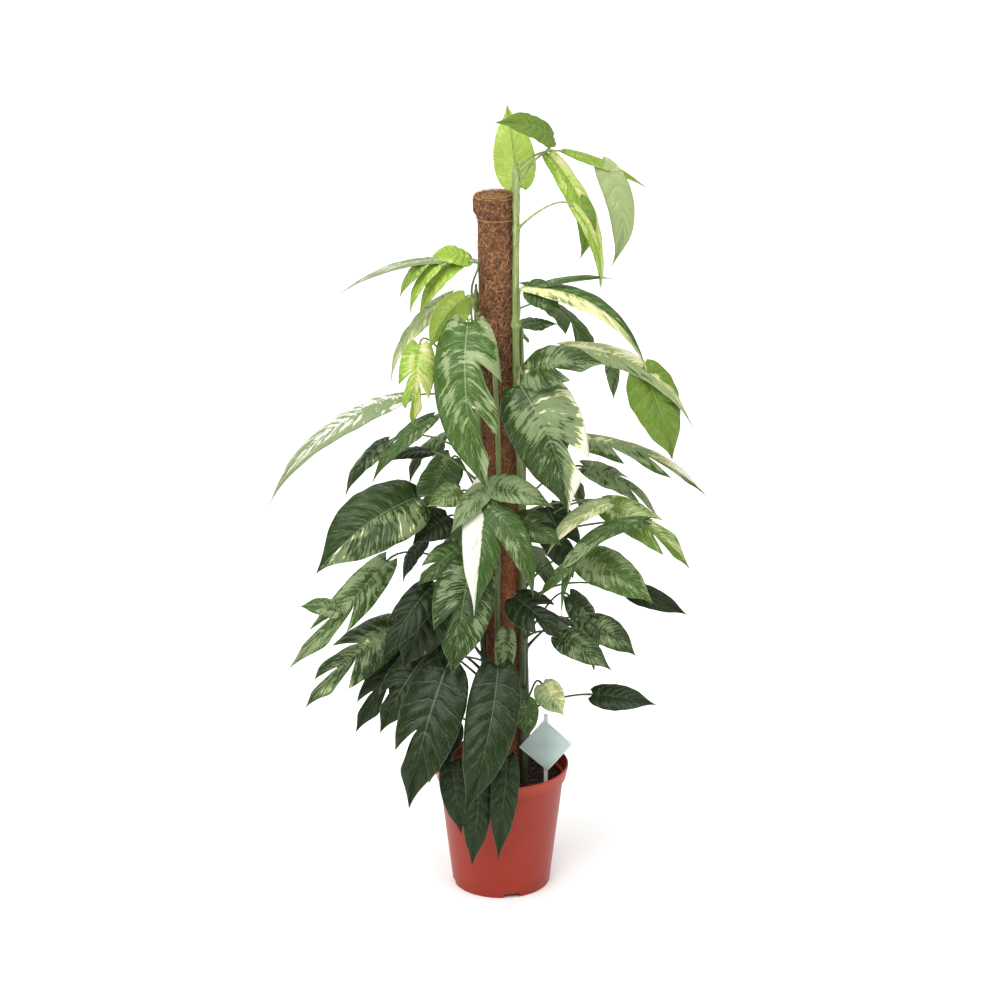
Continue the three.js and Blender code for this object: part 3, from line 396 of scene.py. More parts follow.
LEAVES = {
    "stem_right_front": [
        (1085, (24, -6, 1112), (8, 15, 1229), 64, 0.06, 0, BACK, "whole", "lime"),
        (1130, (75, -10, 1185), (-10, -60, 1215), 52, 0.14, 0, UP_FRONT, "whole", "deep_lime"),
        (1115, (70, 5, 1156), (145, -24, 964), 46, 0.1, 0.04, (0.8, -0.8, 0.3), "left", "lime_cream"),
        (1115, 0.36, (115, -34, 1010), 30, 0.1, 0.12, (0, -1, 0.5), "lobe", "deep_lime"),
        (1140, (95, 25, 1157), (217, 40, 1099), 20, 0.03, 0.03, (0.2, -0.6, 0.8), "whole", "fresh"),
        (1140, 0.42, (164, 20, 987), 44, 0.1, 0.13, (0.2, -1, 0.3), "lobe", "soft_green"),
        (1050, (105, -45, 1090), (145, -60, 970), 26, 0.14, 0, (0.8, -0.7, 0.3), "whole", "lime_cream"),
        (910, (35, -40, 970), (215, -60, 845), 44, 0.22, 0, (0.2, -0.5, 1), "whole", "low_cream"),
        (910, 0.02, (87, -62, 941), 44, 0.1, 0, (0.1, -0.9, 0.4), "lobe", "mid"),
        (910, 0.06, (163, -50, 984), 15, 0.08, 0, (0, -0.6, 1), "lobe", "mid"),
        (840, (34, -85, 850), (150, -125, 875), 76, 0.14, 0, UP_FRONT, "left", "grey_mid"),
        (800, (27, -94, 835), (98, -132, 650), 120, 0.14, 0.09, (-0.25, -1, 0.4), "right", "edge_sage"),
        (570, (20, -80, 625), (90, -120, 595), 58, 0.12, 0, UP_FRONT, "right", "mid"),
        (610, (162, -70, 646), (68, -115, 579), 28, 0.16, -0.08, UP_FRONT, "whole", "pale_green"),
        (560, (215, -72, 618), (90, -130, 487), 26, 0.14, -0.2, UP_FRONT, "whole", "mid"),
        (560, 0.62, (55, -125, 515), 20, 0.1, 0, UP_FRONT, "lobe", "mid"),
        (560, 0.45, (87, -118, 554), 20, 0.08, 0, UP_FRONT, "lobe", "sage"),
        (480, (20, -80, 500), (90, -145, 455), 70, 0.1, 0, UP_FRONT, "pair", "dark"),
        (410, (85, -80, 440), (165, -125, 400), 50, 0.1, 0, UP_FRONT, "whole", "dark_streak"),
        (330, (36, -88, 339), (41, -105, 282), 40, 0.06, 0, FRONT, "whole", "mid"),
        (300, (62, -75, 358), (95, -95, 315), 46, 0.04, 0, FRONT, "whole", "pale_green"),
        (285, (140, -60, 335), (235, -90, 330), 46, 0.06, 0, UP_FRONT, "whole", "dark"),
    ],
    "stem_right_back": [
        (885, (30, 40, 890), (85, 85, 880), 44, 0.08, 0, UP, "whole", "mid"),
        (800, (92, 0, 868), (286, -20, 749), 46, 0.2, 0, (0.3, -0.5, 0.9), "whole", "pale_green"),
        (800, 0.28, (167, -15, 791), 26, 0.06, 0, (0.5, -0.8, 0.4), "lobe", "sage"),
        (800, 0.5, (256, -30, 701), 86, 0.08, 0, (0.4, -0.8, 0.5), "lobe", "deep_lime"),
        (680, (115, 0, 725), (310, 0, 635), 50, 0.14, 0, (0.2, -0.6, 0.9), "lefts", "edge_white"),
        (620, (125, 20, 675), (240, 45, 585), 52, 0.12, 0, (0.3, -0.5, 1), "pair", "sage"),
        (560, (155, -20, 628), (285, -35, 530), 62, 0.16, 0, (0.2, -0.8, 0.8), "pair", "chartreuse"),
        (480, (120, -18, 543), (231, -40, 475), 70, 0.16, 0, UP_FRONT, "whole", "fresh_mid"),
        (380, (135, -32, 445), (205, -52, 395), 50, 0.12, 0, UP_FRONT, "whole", "dark_streak"),
        (400, (105, 10, 470), (150, 35, 365), 52, 0.12, 0, (0.7, -0.7, 0.4), "right", "dark_streak"),
        (590, (70, 20, 610), (110, 5, 500), 72, 0.1, 0, (0.3, -1, 0.5), "right", "dark"),
        (450, (195, 25, 474), (286, 10, 439), 38, 0.1, 0, (0.1, -0.8, 0.6), "whole", "dark"),
    ],
    "stem_front": [
        (865, (-49, -75, 924), (-20, -150, 690), 112, 0.12, -0.05, (-0.1, -1, 0.3), "rights", "mid_cream"),
        (650, (-20, -92, 686), (-40, -175, 505), 64, 0.12, 0, FRONT, "whole", "half_white"),
        (650, 0.02, (77, -135, 659), 48, 0.14, 0, (0.2, -0.8, 0.6), "lobe", "sage"),
        (650, 0.14, (47, -165, 530), 46, 0.12, 0.06, (0.3, -1, 0.35), "lobe", "mid"),
        (650, 0.03, (-74, -150, 624), 40, 0.12, 0, (-0.3, -0.9, 0.4), "lobe", "sage"),
        (530, (-47, -118, 569), (-73, -185, 414), 96, 0.1, 0, FRONT, "left", "grey_dark"),
        (380, (-5, -120, 405), (-56, -195, 196), 82, 0.08, 0.04, FRONT, "whole", "edge_cream"),
        (410, (8, -70, 445), (2, -95, 360), 34, 0.06, 0, FRONT, "whole", "sage"),
        (250, (10, -125, 260), (-5, -150, 100), 44, 0.06, 0, FRONT, "whole", "dark"),
        (240, (-32, -125, 215), (-45, -150, 90), 44, 0.06, 0, FRONT, "whole", "dark"),
        (360, (-83, -110, 398), (-139, -170, 195), 104, 0.1, 0, (-0.3, -1, 0.35), "left", "dark"),
        (245, (-75, -118, 248), (-61, -142, 139), 48, 0.06, 0, FRONT, "whole", "dark"),
    ],
    "stem_left_front": [
        (890, (-52, -46, 956), (-105, -75, 884), 62, 0.12, 0, (-0.2, 0.8, 0.5), "whole", "lime"),
        (800, (-120, -60, 887), (-132, -75, 767), 56, 0.1, 0, FRONT, "few", "lime_cream"),
        (740, (-100, -70, 780), (-190, -110, 690), 40, 0.12, 0, UP, "left", "mid"),
        (660, (-105, -50, 720), (-170, -80, 712), 36, 0.1, 0, UP, "whole", "dark"),
        (600, (-125, -60, 652), (-275, -120, 552), 112, 0.18, 0, UP_FRONT, "whole", "low_sage"),
        (620, (-60, -70, 665), (-110, -95, 648), 44, 0.1, 0, UP_FRONT, "whole", "fresh_mid"),
        (560, (-80, -55, 620), (-132, -88, 588), 58, 0.1, 0, UP_FRONT, "whole", "dark"),
        (530, (-62, -80, 580), (-125, -115, 530), 52, 0.1, 0, UP_FRONT, "pair", "mid"),
        (470, (-105, -85, 520), (-178, -148, 425), 56, 0.12, 0, UP_FRONT, "left", "dark"),
        (420, (-66, -50, 480), (-118, -72, 345), 80, 0.08, 0, (-0.4, -1, 0.5), "left", "dark"),
        (340, (-115, -45, 395), (-185, -80, 280), 78, 0.1, 0, (-0.4, -1, 0.5), "left", "dark"),
        (250, (-75, -60, 290), (-110, -110, 210), 56, 0.1, 0, (-0.4, -1, 0.5), "whole", "dark"),
        (380, (-93, -62, 505), (-148, -82, 387), 92, 0.1, 0, (-0.3, -1, 0.4), "left", "dark"),
    ],
    "stem_left_back": [
        (930, (-42, -25, 1005), (-243, -40, 954), 24, 0.12, 0, (0, -0.3, 1), "whole", "grey_pale"),
        (930, 0.02, (-108, -22, 1004), 44, 0.22, 0, (0, -0.5, 1), "lobe", "lime"),
        (930, 0.3, (-149, -40, 953), 28, 0.12, 0, (-0.5, -0.5, 0.8), "lobe", "fresh"),
        (930, 0.2, (-134, -45, 930), 30, 0.14, 0, (-0.6, -0.5, 0.7), "lobe", "lime"),
        (930, 0.06, (-120, -30, 917), 40, 0.16, 0, (-0.6, -0.5, 0.7), "lobe", "lime"),
        (880, (-75, 5, 945), (-165, -5, 815), 56, 0.14, 0, (-0.8, -0.3, 0.7), "left", "pale_green"),
        (760, (-145, -20, 795), (-350, -40, 630), 48, 0.16, 0, (-0.2, -0.5, 1), "whole", "grey_pale"),
        (680, (-170, 5, 720), (-235, -15, 640), 46, 0.12, 0, LEFT_UP, "whole", "dark_streak"),
        (480, (-175, 0, 530), (-325, -40, 370), 60, 0.12, 0.05, UP_FRONT, "pair", "mid_sage"),
        (480, 0.45, (-307, -30, 466), 36, 0.14, 0, (0, -0.6, 0.8), "lobe", "mid_sage"),
        (480, 0.25, (-220, -20, 474), 30, 0.08, 0, (0, -0.8, 0.6), "lobe", "mid_sage"),
        (480, 0.62, (-270, -50, 417), 22, 0.08, 0, (0, -0.8, 0.6), "lobe", "mid_sage"),
        (390, (-160, -10, 430), (-300, -50, 310), 84, 0.14, 0, UP_FRONT, "few", "dark_streak"),
        (340, (-150, -5, 385), (-225, -30, 260), 62, 0.1, 0, UP_FRONT, "pair", "dark"),
        (510, (-115, 10, 565), (-150, 5, 495), 42, 0.1, 0, LEFT_UP, "whole", "dark"),
        (640, (-75, 15, 690), (-125, 15, 570), 74, 0.1, 0, (-0.5, -0.8, 0.5), "pair", "mid"),
    ],
    "stem_back": [],
}
print("leaves by hand", sum(len(rows) for rows in LEAVES.values()))

# %% [markdown]
# The leaves at the back fan out by a rule with seeded draws, the same rule as in the frame.
# A small generator of its own gives the same numbers in both places.

# %% Leaves at the back
SEED = 4150
FAN = {
    "count": 12, "low": 330, "high": 920, "turns": (90, 38, 142, 64, 116), "jitter": 10,
    "near": (78, 22), "length": (120, 70), "drop": (0.55, 0.3), "width": (0.48, 0.12),
    "lift": 45, "arch": 0.13, "behind": 12, "tilt": 0.7, "forms": ("few", "right", "lefts", "left", "rights"),
    "looks": ("dark", "dark_streak", "mid", "dark_streak", "sage", "mid"),
}


def seeded(state):
    while True:
        state = (state * 1664525 + 1013904223) % 4294967296
        yield state / 4294967296


draws = seeded(SEED)


def draw(least, spread):
    return least + spread * next(draws)


def back_leaf(i):
    """One row of the leaf table, by the rule of the fan."""
    at = FAN["low"] + (FAN["high"] - FAN["low"]) * i / FAN["count"]
    angle = math.radians(FAN["turns"][i % 5] + FAN["jitter"] * (next(draws) - 0.5))
    near = draw(*FAN["near"])
    length = draw(*FAN["length"])
    drop = draw(*FAN["drop"]) * length
    far = near + math.sqrt(length * length - drop * drop)
    top = at + FAN["lift"]
    tilt = FAN["tilt"]
    base = (near * math.cos(angle), FAN["behind"] + near * math.sin(angle), top)
    tip = (far * math.cos(angle), FAN["behind"] + far * math.sin(angle), top - drop)
    face = (tilt * math.cos(angle), tilt * math.sin(angle), tilt)
    width = length * draw(*FAN["width"])
    look = FAN["looks"][i * len(FAN["looks"]) // FAN["count"]]
    return at, base, tip, width, FAN["arch"], 0, face, FAN["forms"][i % 5], look


LEAVES["stem_back"] = [back_leaf(i) for i in range(FAN["count"])]
print("leaves at the back", len(LEAVES["stem_back"]))

# %% [markdown]
# A real blade is egg-shaped with a drawn-out tip, and its side veins lean forward on their way to the edge.
# One formula gives the half-width along the midrib: round at the base, and drawn in near the drip tip.
# A second one says where along the midrib each side vein reaches the edge.

# %% The outline of a blade
BASE_LOBE = 0.06
BASE_ROUND = 0.08
BASE_POWER = 0.5
TIP_POWER = 0.95
VEIN_LEAN = 0.9
DRIP_START = 0.7
DRIP = 0.55


def outline(share):
    return share**BASE_POWER * (1 - share) ** TIP_POWER * (1 - DRIP * smooth(DRIP_START, 1, share))


WIDEST = BASE_POWER / (BASE_POWER + TIP_POWER)
OUTLINE_PEAK = outline(WIDEST)


def half_width(along):
    return outline(np.clip((along + BASE_ROUND) / (1 + BASE_ROUND), 0, 1)) / OUTLINE_PEAK


def vein_end(start):
    """Where along the midrib a side vein reaches the margin."""
    return start + VEIN_LEAN * start * (1 - start) - BASE_LOBE * (1 - start) ** 3


print("a blade is widest at %.2f of its length" % (WIDEST * (1 + BASE_ROUND) - BASE_ROUND))

# %% [markdown]
# Old leaves tear open between two side veins, and each tear runs from the edge part of the way to the midrib.
# The leaves of one plant repeat a few patterns of such slits, so each pattern is written once under a name.

# %% Patterns of slits
# A slit: its side, the side vein that it follows, and how far it opens.
CUTS = {
    "whole": [],
    "lobe": [],
    "right": [(1, 0.4, 0.06)],
    "left": [(-1, 0.4, 0.06)],
    "rights": [(1, 0.2, 0.07), (1, 0.46, 0.08)],
    "lefts": [(-1, 0.2, 0.07), (-1, 0.46, 0.08)],
    "pair": [(-1, 0.46, 0.05), (1, 0.32, 0.06)],
    "few": [(-1, 0.3, 0.05), (-1, 0.54, 0.05), (1, 0.4, 0.07)],
}
# How far out from the midrib the slits begin, and how much the halves hang.
CUT_START = {
    "whole": 0.42, "lobe": 0.42, "right": 0.36, "left": 0.36, "rights": 0.26, "lefts": 0.26, "pair": 0.36,
    "few": 0.3,
}
HANG = {
    "whole": 0.12, "lobe": 0.1, "right": 0.16, "left": 0.16, "rights": 0.45, "lefts": 0.45, "pair": 0.16,
    "few": 0.22,
}
print("slits", {form: len(slits) for form, slits in CUTS.items()})

# %% [markdown]
# A blade could be cut from an outline, but then the faces wouldn't follow the veins.
# So a grid is laid in vein coordinates: one way along the midrib, the other way out along each side vein.
# Every slit is a doubled column of the grid whose outer faces are deleted, and its lobes get a point.

# %% Flat blades
VEIN_CURVE = 1.4
LOBE_POINT = 0.06
LOBE_HEEL = 0.38
LOBE_LEAN = 0.035
CUT_FADE = 0.26
HEEL_FADE = 0.17
SIDE_VEINS = 9
ALONG_STEPS = 44
LINE_CLEAR = 0.4
INNER_STEPS = 5
OUTER_STEPS = 8
HAIR = 1e-6
BLADE_MERGE = 1e-5


def numbers(rows, name):
    """The vectors that a mesh holds under one name, as rows of numpy."""
    flat = np.empty(len(rows) * 3)
    rows.foreach_get(name, flat)
    return flat.reshape(-1, 3)


def flat_blade(form):
    """A flat blade: x is the share of the length, y the share of the half-width."""
    cuts = sorted({place for _, place, _ in CUTS[form]})
    plain = np.linspace(0, 1, ALONG_STEPS + 1)
    clear = LINE_CLEAR / ALONG_STEPS
    plain = plain[[min([abs(place - cut) for cut in cuts] + [1]) > clear for place in plain]]
    starts = np.sort(np.concatenate([plain, cuts, cuts]))
    ahead = np.zeros(len(starts), bool)
    ahead[1:] = starts[1:] == starts[:-1]
    inner = CUT_START[form]
    half = np.concatenate([np.linspace(0, inner, INNER_STEPS), np.linspace(inner, 1, OUTER_STEPS)[1:]])
    rows = np.concatenate([-half[:0:-1], half])
    bpy.ops.mesh.primitive_grid_add(x_subdivisions=len(starts) - 1, y_subdivisions=len(rows) - 1, size=2)
    blade = bpy.context.object
    blade.name = "flat_" + form
    flat = numbers(blade.data.vertices, "co")
    column = np.rint((flat[:, 0] + 1) / 2 * (len(starts) - 1)).astype(int)
    row = np.rint((flat[:, 1] + 1) / 2 * (len(rows) - 1)).astype(int)
    start = starts[column]
    reach = np.abs(rows[row])
    side = np.sign(rows[row])
    past = ahead[column]
    free = smooth(inner, 1, reach) * 0.5 + np.clip((reach - inner) / (1 - inner), 0, 1) * 0.5
    end = vein_end(start)
    shift = np.zeros(len(start))
    open_up = np.zeros(len(start))
    swell = np.ones(len(start))
    for cut_side, place, gap in CUTS[form]:
        on_side = side == cut_side
        before = on_side & ((start < place) | ((start == place) & ~past))
        after = on_side & ((start > place) | ((start == place) & past))
        near = np.clip(1 - np.abs(start - place) / CUT_FADE, 0, 1) ** 2
        heel = np.clip(1 - np.abs(start - place) / HEEL_FADE, 0, 1) ** 1.5
        shift += np.where(on_side, LOBE_LEAN * near, 0)
        open_up += np.where(after, gap * near, 0)
        swell += np.where(before, LOBE_POINT * near, 0) * free - np.where(after, LOBE_HEEL * heel, 0) * free
    along = start + (end + shift - start) * reach**VEIN_CURVE + open_up * free
    across = side * half_width(end + shift + open_up) * reach * swell
    spots = np.stack([along, across, np.zeros(len(along))], 1)
    blade.data.vertices.foreach_set("co", spots.ravel())
    veins = blade.data.attributes.new("blade", "FLOAT_VECTOR", "POINT")
    veins.data.foreach_set("vector", np.stack([start, side * reach, along], 1).ravel())
    only(blade)
    bpy.ops.object.mode_set(mode="EDIT")
    bpy.ops.mesh.select_all(action="DESELECT")
    bpy.ops.object.mode_set(mode="OBJECT")
    for face in blade.data.polygons:
        corners = list(face.vertices)
        lines = start[corners]
        halves = side[corners[0]] + side[corners[2]]
        outside = min(reach[corners]) > inner - HAIR
        face.select = any(
            outside and min(lines) == max(lines) == place and halves == 2 * cut_side
            for cut_side, place, _ in CUTS[form]
        )
    bpy.ops.object.mode_set(mode="EDIT")
    bpy.ops.mesh.delete(type="ONLY_FACE")
    bpy.ops.mesh.select_all(action="SELECT")
    bpy.ops.mesh.remove_doubles(threshold=BLADE_MERGE)
    bpy.ops.object.mode_set(mode="OBJECT")
    return blade


BLADES = {form: flat_blade(form) for form in CUTS}
print("flat blades", {form: len(blade.data.polygons) for form, blade in BLADES.items()})

# %% [markdown]
# A growing blade isn't flat: its midrib arches, its halves fold up and then hang, and the edge waves.
# The same few lines bend the frame's plain leaves, and here they also raise the skin between the side veins.

# %% Bend a blade into a leaf
FOLD = 0.22
WAVE = 0.07
WAVES = 9
RIPPLE = 0.034
RIPPLES = 3.7 * WAVES
QUILT = 0.026
HANG_IN = 0.3


class Leaf:
    """One row of the leaf table, with its midrib as a curve."""

    def __init__(self, row, phase, parent):
        self.at, base, tip, self.width, self.arch, bow, face, self.form, self.look = row
        self.phase = phase
        base = parent.midrib(base) if self.form == "lobe" else base
        self.base = np.array(base, float)
        self.tip = np.array(tip, float)
        chord = self.tip - self.base
        self.length = np.linalg.norm(chord)
        ahead = chord / self.length
        face = np.array(face, float)
        self.face = unit(face - face.dot(ahead) * ahead)
        side = unit(np.cross(self.face, ahead))
        lift = 2 * self.arch * self.length * self.face + 2 * bow * self.length * side
        self.crown = (self.base + self.tip) / 2 + lift

    def midrib(self, share):
        share = np.clip(np.asarray(share, float), 0, 1)[..., None]
        return (1 - share) ** 2 * self.base + 2 * share * (1 - share) * self.crown + share**2 * self.tip

    def ahead(self, share):
        share = np.clip(np.asarray(share, float), 0, 1)[..., None]
        return unit((1 - share) * (self.crown - self.base) + share * (self.tip - self.crown))

    def axes(self, share):
        ahead = self.ahead(share)
        up = unit(self.face - (ahead @ self.face)[..., None] * ahead)
        return ahead, up, np.cross(up, ahead)


def bent(leaf):
    """A copy of the flat blade, laid along the leaf's midrib, folded, waved and quilted."""
    mesh = BLADES[leaf.form].data.copy()
    count = len(mesh.vertices)
    along, across, _ = numbers(mesh.vertices, "co").T
    start, reach_along_vein, _ = numbers(mesh.attributes["blade"].data, "vector").T
    ahead, up, side = leaf.axes(along)
    reach = np.abs(across)
    hang = HANG[leaf.form]
    wave = WAVE * np.sin(WAVES * along + leaf.phase + np.sign(across)) * reach**2
    wave += RIPPLE * np.sin(RIPPLES * along + 2 * leaf.phase) * reach**3
    outward = np.abs(reach_along_vein)
    quilt = QUILT * (1 - np.cos(2 * math.pi * SIDE_VEINS * start)) * outward * (1 - outward) * 4
    rise = FOLD * reach - (FOLD + hang) * reach**2 + wave + quilt
    spread = across * (1 - HANG_IN * hang * reach**2)
    beyond = (along - np.clip(along, 0, 1))[:, None] * leaf.length * ahead
    half = leaf.width / 2
    spots = leaf.midrib(along) + beyond + side * (spread * half)[:, None] + up * (rise * half)[:, None]
    mesh.vertices.foreach_set("co", (spots * MM).ravel())
    *shares, sector, edge = LOOKS[leaf.look]
    shade = mesh.attributes.new("look", "FLOAT_COLOR", "POINT")
    shade.data.foreach_set("color", np.tile(shares, count))
    marks = mesh.attributes.new("marks", "FLOAT_VECTOR", "POINT")
    marks.data.foreach_set("vector", np.tile([sector, leaf.phase, edge], count))
    blade = bpy.data.objects.new("blade", mesh)
    scene.collection.objects.link(blade)
    return blade


largest = Leaf(LEAVES["stem_front"][0], 0, None)
print("one of the largest leaves is %.0f mm long and %.0f mm wide" % (largest.length, largest.width))

# %% [markdown]
# The pole leans a little to the left, and six stems climb it side by side, swaying a few degrees.
# So a place on a stem is an angle round the pole and a height, and each stem keeps its line in the frame.

# %% The pole's line and the stems round it
POLE_RADIUS = 29
POLE_BASE_X = 8
POLE_LEAN = -0.0175
SOIL_TOP = 176
GAP = 0.3
TWINE_RADIUS = 0.8
STEM_FOOT = 95
STEM_SWAY = 5
SWAY_HEIGHT = 95
# A stem: its angle round the pole, its top and its radius.
STEMS = {
    "stem_right_front": (-42, 1150, 6.2),
    "stem_right_back": (22, 905, 4.6),
    "stem_front": (-100, 885, 4.8),
    "stem_left_front": (-152, 925, 4.6),
    "stem_left_back": (158, 960, 4.6),
    "stem_back": (92, 935, 4.6),
}


def pole_middle(height):
    height = np.asarray(height, float)
    return np.stack([POLE_BASE_X + POLE_LEAN * (height - SOIL_TOP), 0 * height, height], -1)


def stem_angle(stem, height):
    turn = STEMS[stem][0]
    free = smooth(SOIL_TOP + 10, SOIL_TOP + 120, height)
    return np.radians(turn + STEM_SWAY * free * np.sin(np.asarray(height) / SWAY_HEIGHT + turn))


def round_pole(angle, height, reach):
    """A place at an angle round the pole, a height and a distance from the pole's middle."""
    out = np.stack([np.cos(angle) * reach, np.sin(angle) * reach, 0 * np.asarray(angle)], -1)
    return pole_middle(height) + out


def stem_spot(stem, height):
    reach = POLE_RADIUS + 3 * GAP + 2 * TWINE_RADIUS + STEMS[stem][2]
    return round_pole(stem_angle(stem, height), height, reach)


for stem, (_, top, radius) in STEMS.items():
    print(stem, "ends at", stem_spot(stem, float(top)).round(1), "radius", radius)

# %% [markdown]
# Stems, petioles and midribs are all round bars along curves, so each is a row of places and of radii.
# A stem swells at each leaf, and a petiole is thicker where it clasps the stem and at its knee.
# The midrib goes on from the petiole, half sunk in the lower side of the blade, and thins out to the tip.

# %% Stems, petioles and midribs as bars
STEM_STEP = 7
STEM_TAPER = 0.8
NODE_SWELL = 1.1
NODE_WIDTH = 5
RING_EVERY = 46
RING_SWELL = 0.35
RING_WIDTH = 3
TIP_LENGTH = 8
TIP_SHARE = 0.55
PETIOLE_RADIUS = 1.7
PETIOLE_REACH = 0.3
PETIOLE_TAPER = 0.82
CLASP = 1.1
CLASP_FADE = 9
KNEE = 0.35
KNEE_PLACE = 0.93
KNEE_WIDTH = 0.06
MIDRIB_SPAN = (0.02, 0.94)
MIDRIB_RADII = (1.3, 0.3)
MIDRIB_SUNK = 0.55


def bezier(corners, steps):
    share = np.linspace(0, 1, steps)[:, None]
    rest = 1 - share
    a, b, c, d = [np.asarray(corner, float) for corner in corners]
    return rest**3 * a + 3 * share * rest**2 * b + 3 * share**2 * rest * c + share**3 * d


def petiole_of(stem, leaf, steps=14):
    """A stalk from the stem to the blade, thicker where it clasps the stem and at its knee."""
    start = stem_spot(stem, leaf.at)
    out = unit(start - pole_middle(leaf.at))
    end = leaf.midrib(0.0)
    span = np.linalg.norm(end - start)
    first = start + PETIOLE_REACH * span * (out + UPRIGHT)
    second = end - PETIOLE_REACH * span * leaf.ahead(0.0)
    spots = bezier((start, first, second, end), steps)
    share = np.linspace(0, 1, steps)
    clasp = CLASP * np.exp(-share * CLASP_FADE)
    knee = KNEE * np.exp(-(((share - KNEE_PLACE) / KNEE_WIDTH) ** 2))
    return spots, PETIOLE_RADIUS * (1 + clasp + knee) * mix(1.0, PETIOLE_TAPER, share)


def midrib_of(leaf, steps=16):
    """A rib that lies half sunk in the lower side of the blade."""
    share = np.linspace(*MIDRIB_SPAN, steps)
    _, up, _ = leaf.axes(share)
    radius = mix(*MIDRIB_RADII, share**0.7)
    return leaf.midrib(share) - up * (radius * MIDRIB_SUNK)[:, None], radius


def stem_bar(stem):
    """A stem that tapers upwards, swells at each leaf and has rings between them."""
    _, top, radius = STEMS[stem]
    heights = np.linspace(STEM_FOOT, top, int((top - STEM_FOOT) / STEM_STEP))
    share = (heights - STEM_FOOT) / (top - STEM_FOOT)
    radii = np.full(len(heights), float(radius)) * mix(1.0, STEM_TAPER, share)
    for row in LEAVES[stem]:
        radii += NODE_SWELL * np.exp(-(((heights - row[0]) / NODE_WIDTH) ** 2))
    radii += RING_SWELL * np.exp(-(((heights % RING_EVERY - RING_EVERY / 2) / RING_WIDTH) ** 2))
    radii *= np.where(heights > top - TIP_LENGTH, TIP_SHARE, 1.0)
    return stem_spot(stem, heights), radii


print("rings on the front stem", len(stem_bar("stem_front")[1]))

# %% [markdown]
# Skinning each bar by hand would be slow, but a curve with a round bevel does it for all of them at once.
# One curve object holds many bars, each with its own radii, and becomes a mesh in a single step.
# The first use is for aerial roots, short brown bars that leave a stem and bend round the pole to grip it.

# %% Bars as a mesh, and aerial roots
ROOT_EVERY = 38
ROOT_GAPS = 0.35
ROOT_RADII = (1.2, 0.5)


def bars_to_mesh(name, bars, sides):
    """Round bars, each given as its places and radii in millimetres, as one mesh."""
    curve = bpy.data.curves.new(name, "CURVE")
    curve.dimensions = "3D"
    curve.bevel_depth = MM
    curve.bevel_resolution = sides
    curve.use_fill_caps = True
    for spots, radii in bars:
        spline = curve.splines.new("POLY")
        spline.points.add(len(spots) - 1)
        four = np.concatenate([np.asarray(spots) * MM, np.ones((len(spots), 1))], 1)
        spline.points.foreach_set("co", four.ravel())
        spline.points.foreach_set("radius", np.broadcast_to(radii, len(spots)).astype(float).copy())
    piece = bpy.data.objects.new(name, curve)
    scene.collection.objects.link(piece)
    only(piece)
    bpy.ops.object.convert(target="MESH")
    return bpy.context.object


def aerial_roots(stem, chance):
    """Short brown roots that leave the stem at its joints and grip the pole."""
    roots = []
    for height in range(SOIL_TOP + 60, int(STEMS[stem][1]) - 40, ROOT_EVERY):
        if chance.random() < ROOT_GAPS:
            continue
        side = chance.choice((-1, 1))
        fall = chance.uniform(14, 42)
        turn = chance.uniform(0.25, 0.6) * side
        share = np.linspace(0, 1, 8)
        angle = stem_angle(stem, height) + turn * share**0.8
        reach = POLE_RADIUS + mix(4.0, 1.6, smooth(0, 0.5, share))
        spots = round_pole(angle, height + chance.uniform(-8, 8) - fall * share**1.5, reach)
        roots.append((spots, mix(*ROOT_RADII, share)))
    return roots


# %% [markdown]
# A leaf's upper skin is a satin green that darkens with age, split by pale patches and a painted grey-green
# sheen along its veins.
# The patches come from noise that is stretched along each side vein, and the leaf's look sets their share.
# The lower skin is paler and duller, and on young leaves it carries a painted glow of light shining through.
# A little translucent shader lets light through both, as in thin leaves.

# %% Leaf finish
OLD_GREEN = srgb(18, 32, 8)
MID_GREEN = srgb(78, 112, 42)
LIME_GREEN = srgb(172, 204, 78)
OLD_SAGE = srgb(108, 127, 86)
MID_SAGE = srgb(168, 183, 138)
LIME_SAGE = srgb(214, 226, 142)
CREAM = srgb(226, 224, 162)
WHITE = srgb(232, 230, 218)
# The lower skin of old, middle and young leaves; the young one is partly a painted glow of light shining
# through.
UNDER_SKIN_AND_GLOW = (srgb(104, 126, 86), srgb(140, 168, 84), srgb(226, 238, 146))
MARK_START = 0.42


def by_tone(paint, tone, old, middle, young):
    """A colour from old through middle to young leaves."""
    lower = paint.colour((tone * 2).least(1.0), old, middle)
    return paint.colour((tone * 2 - 1).most(0.0), lower, young)


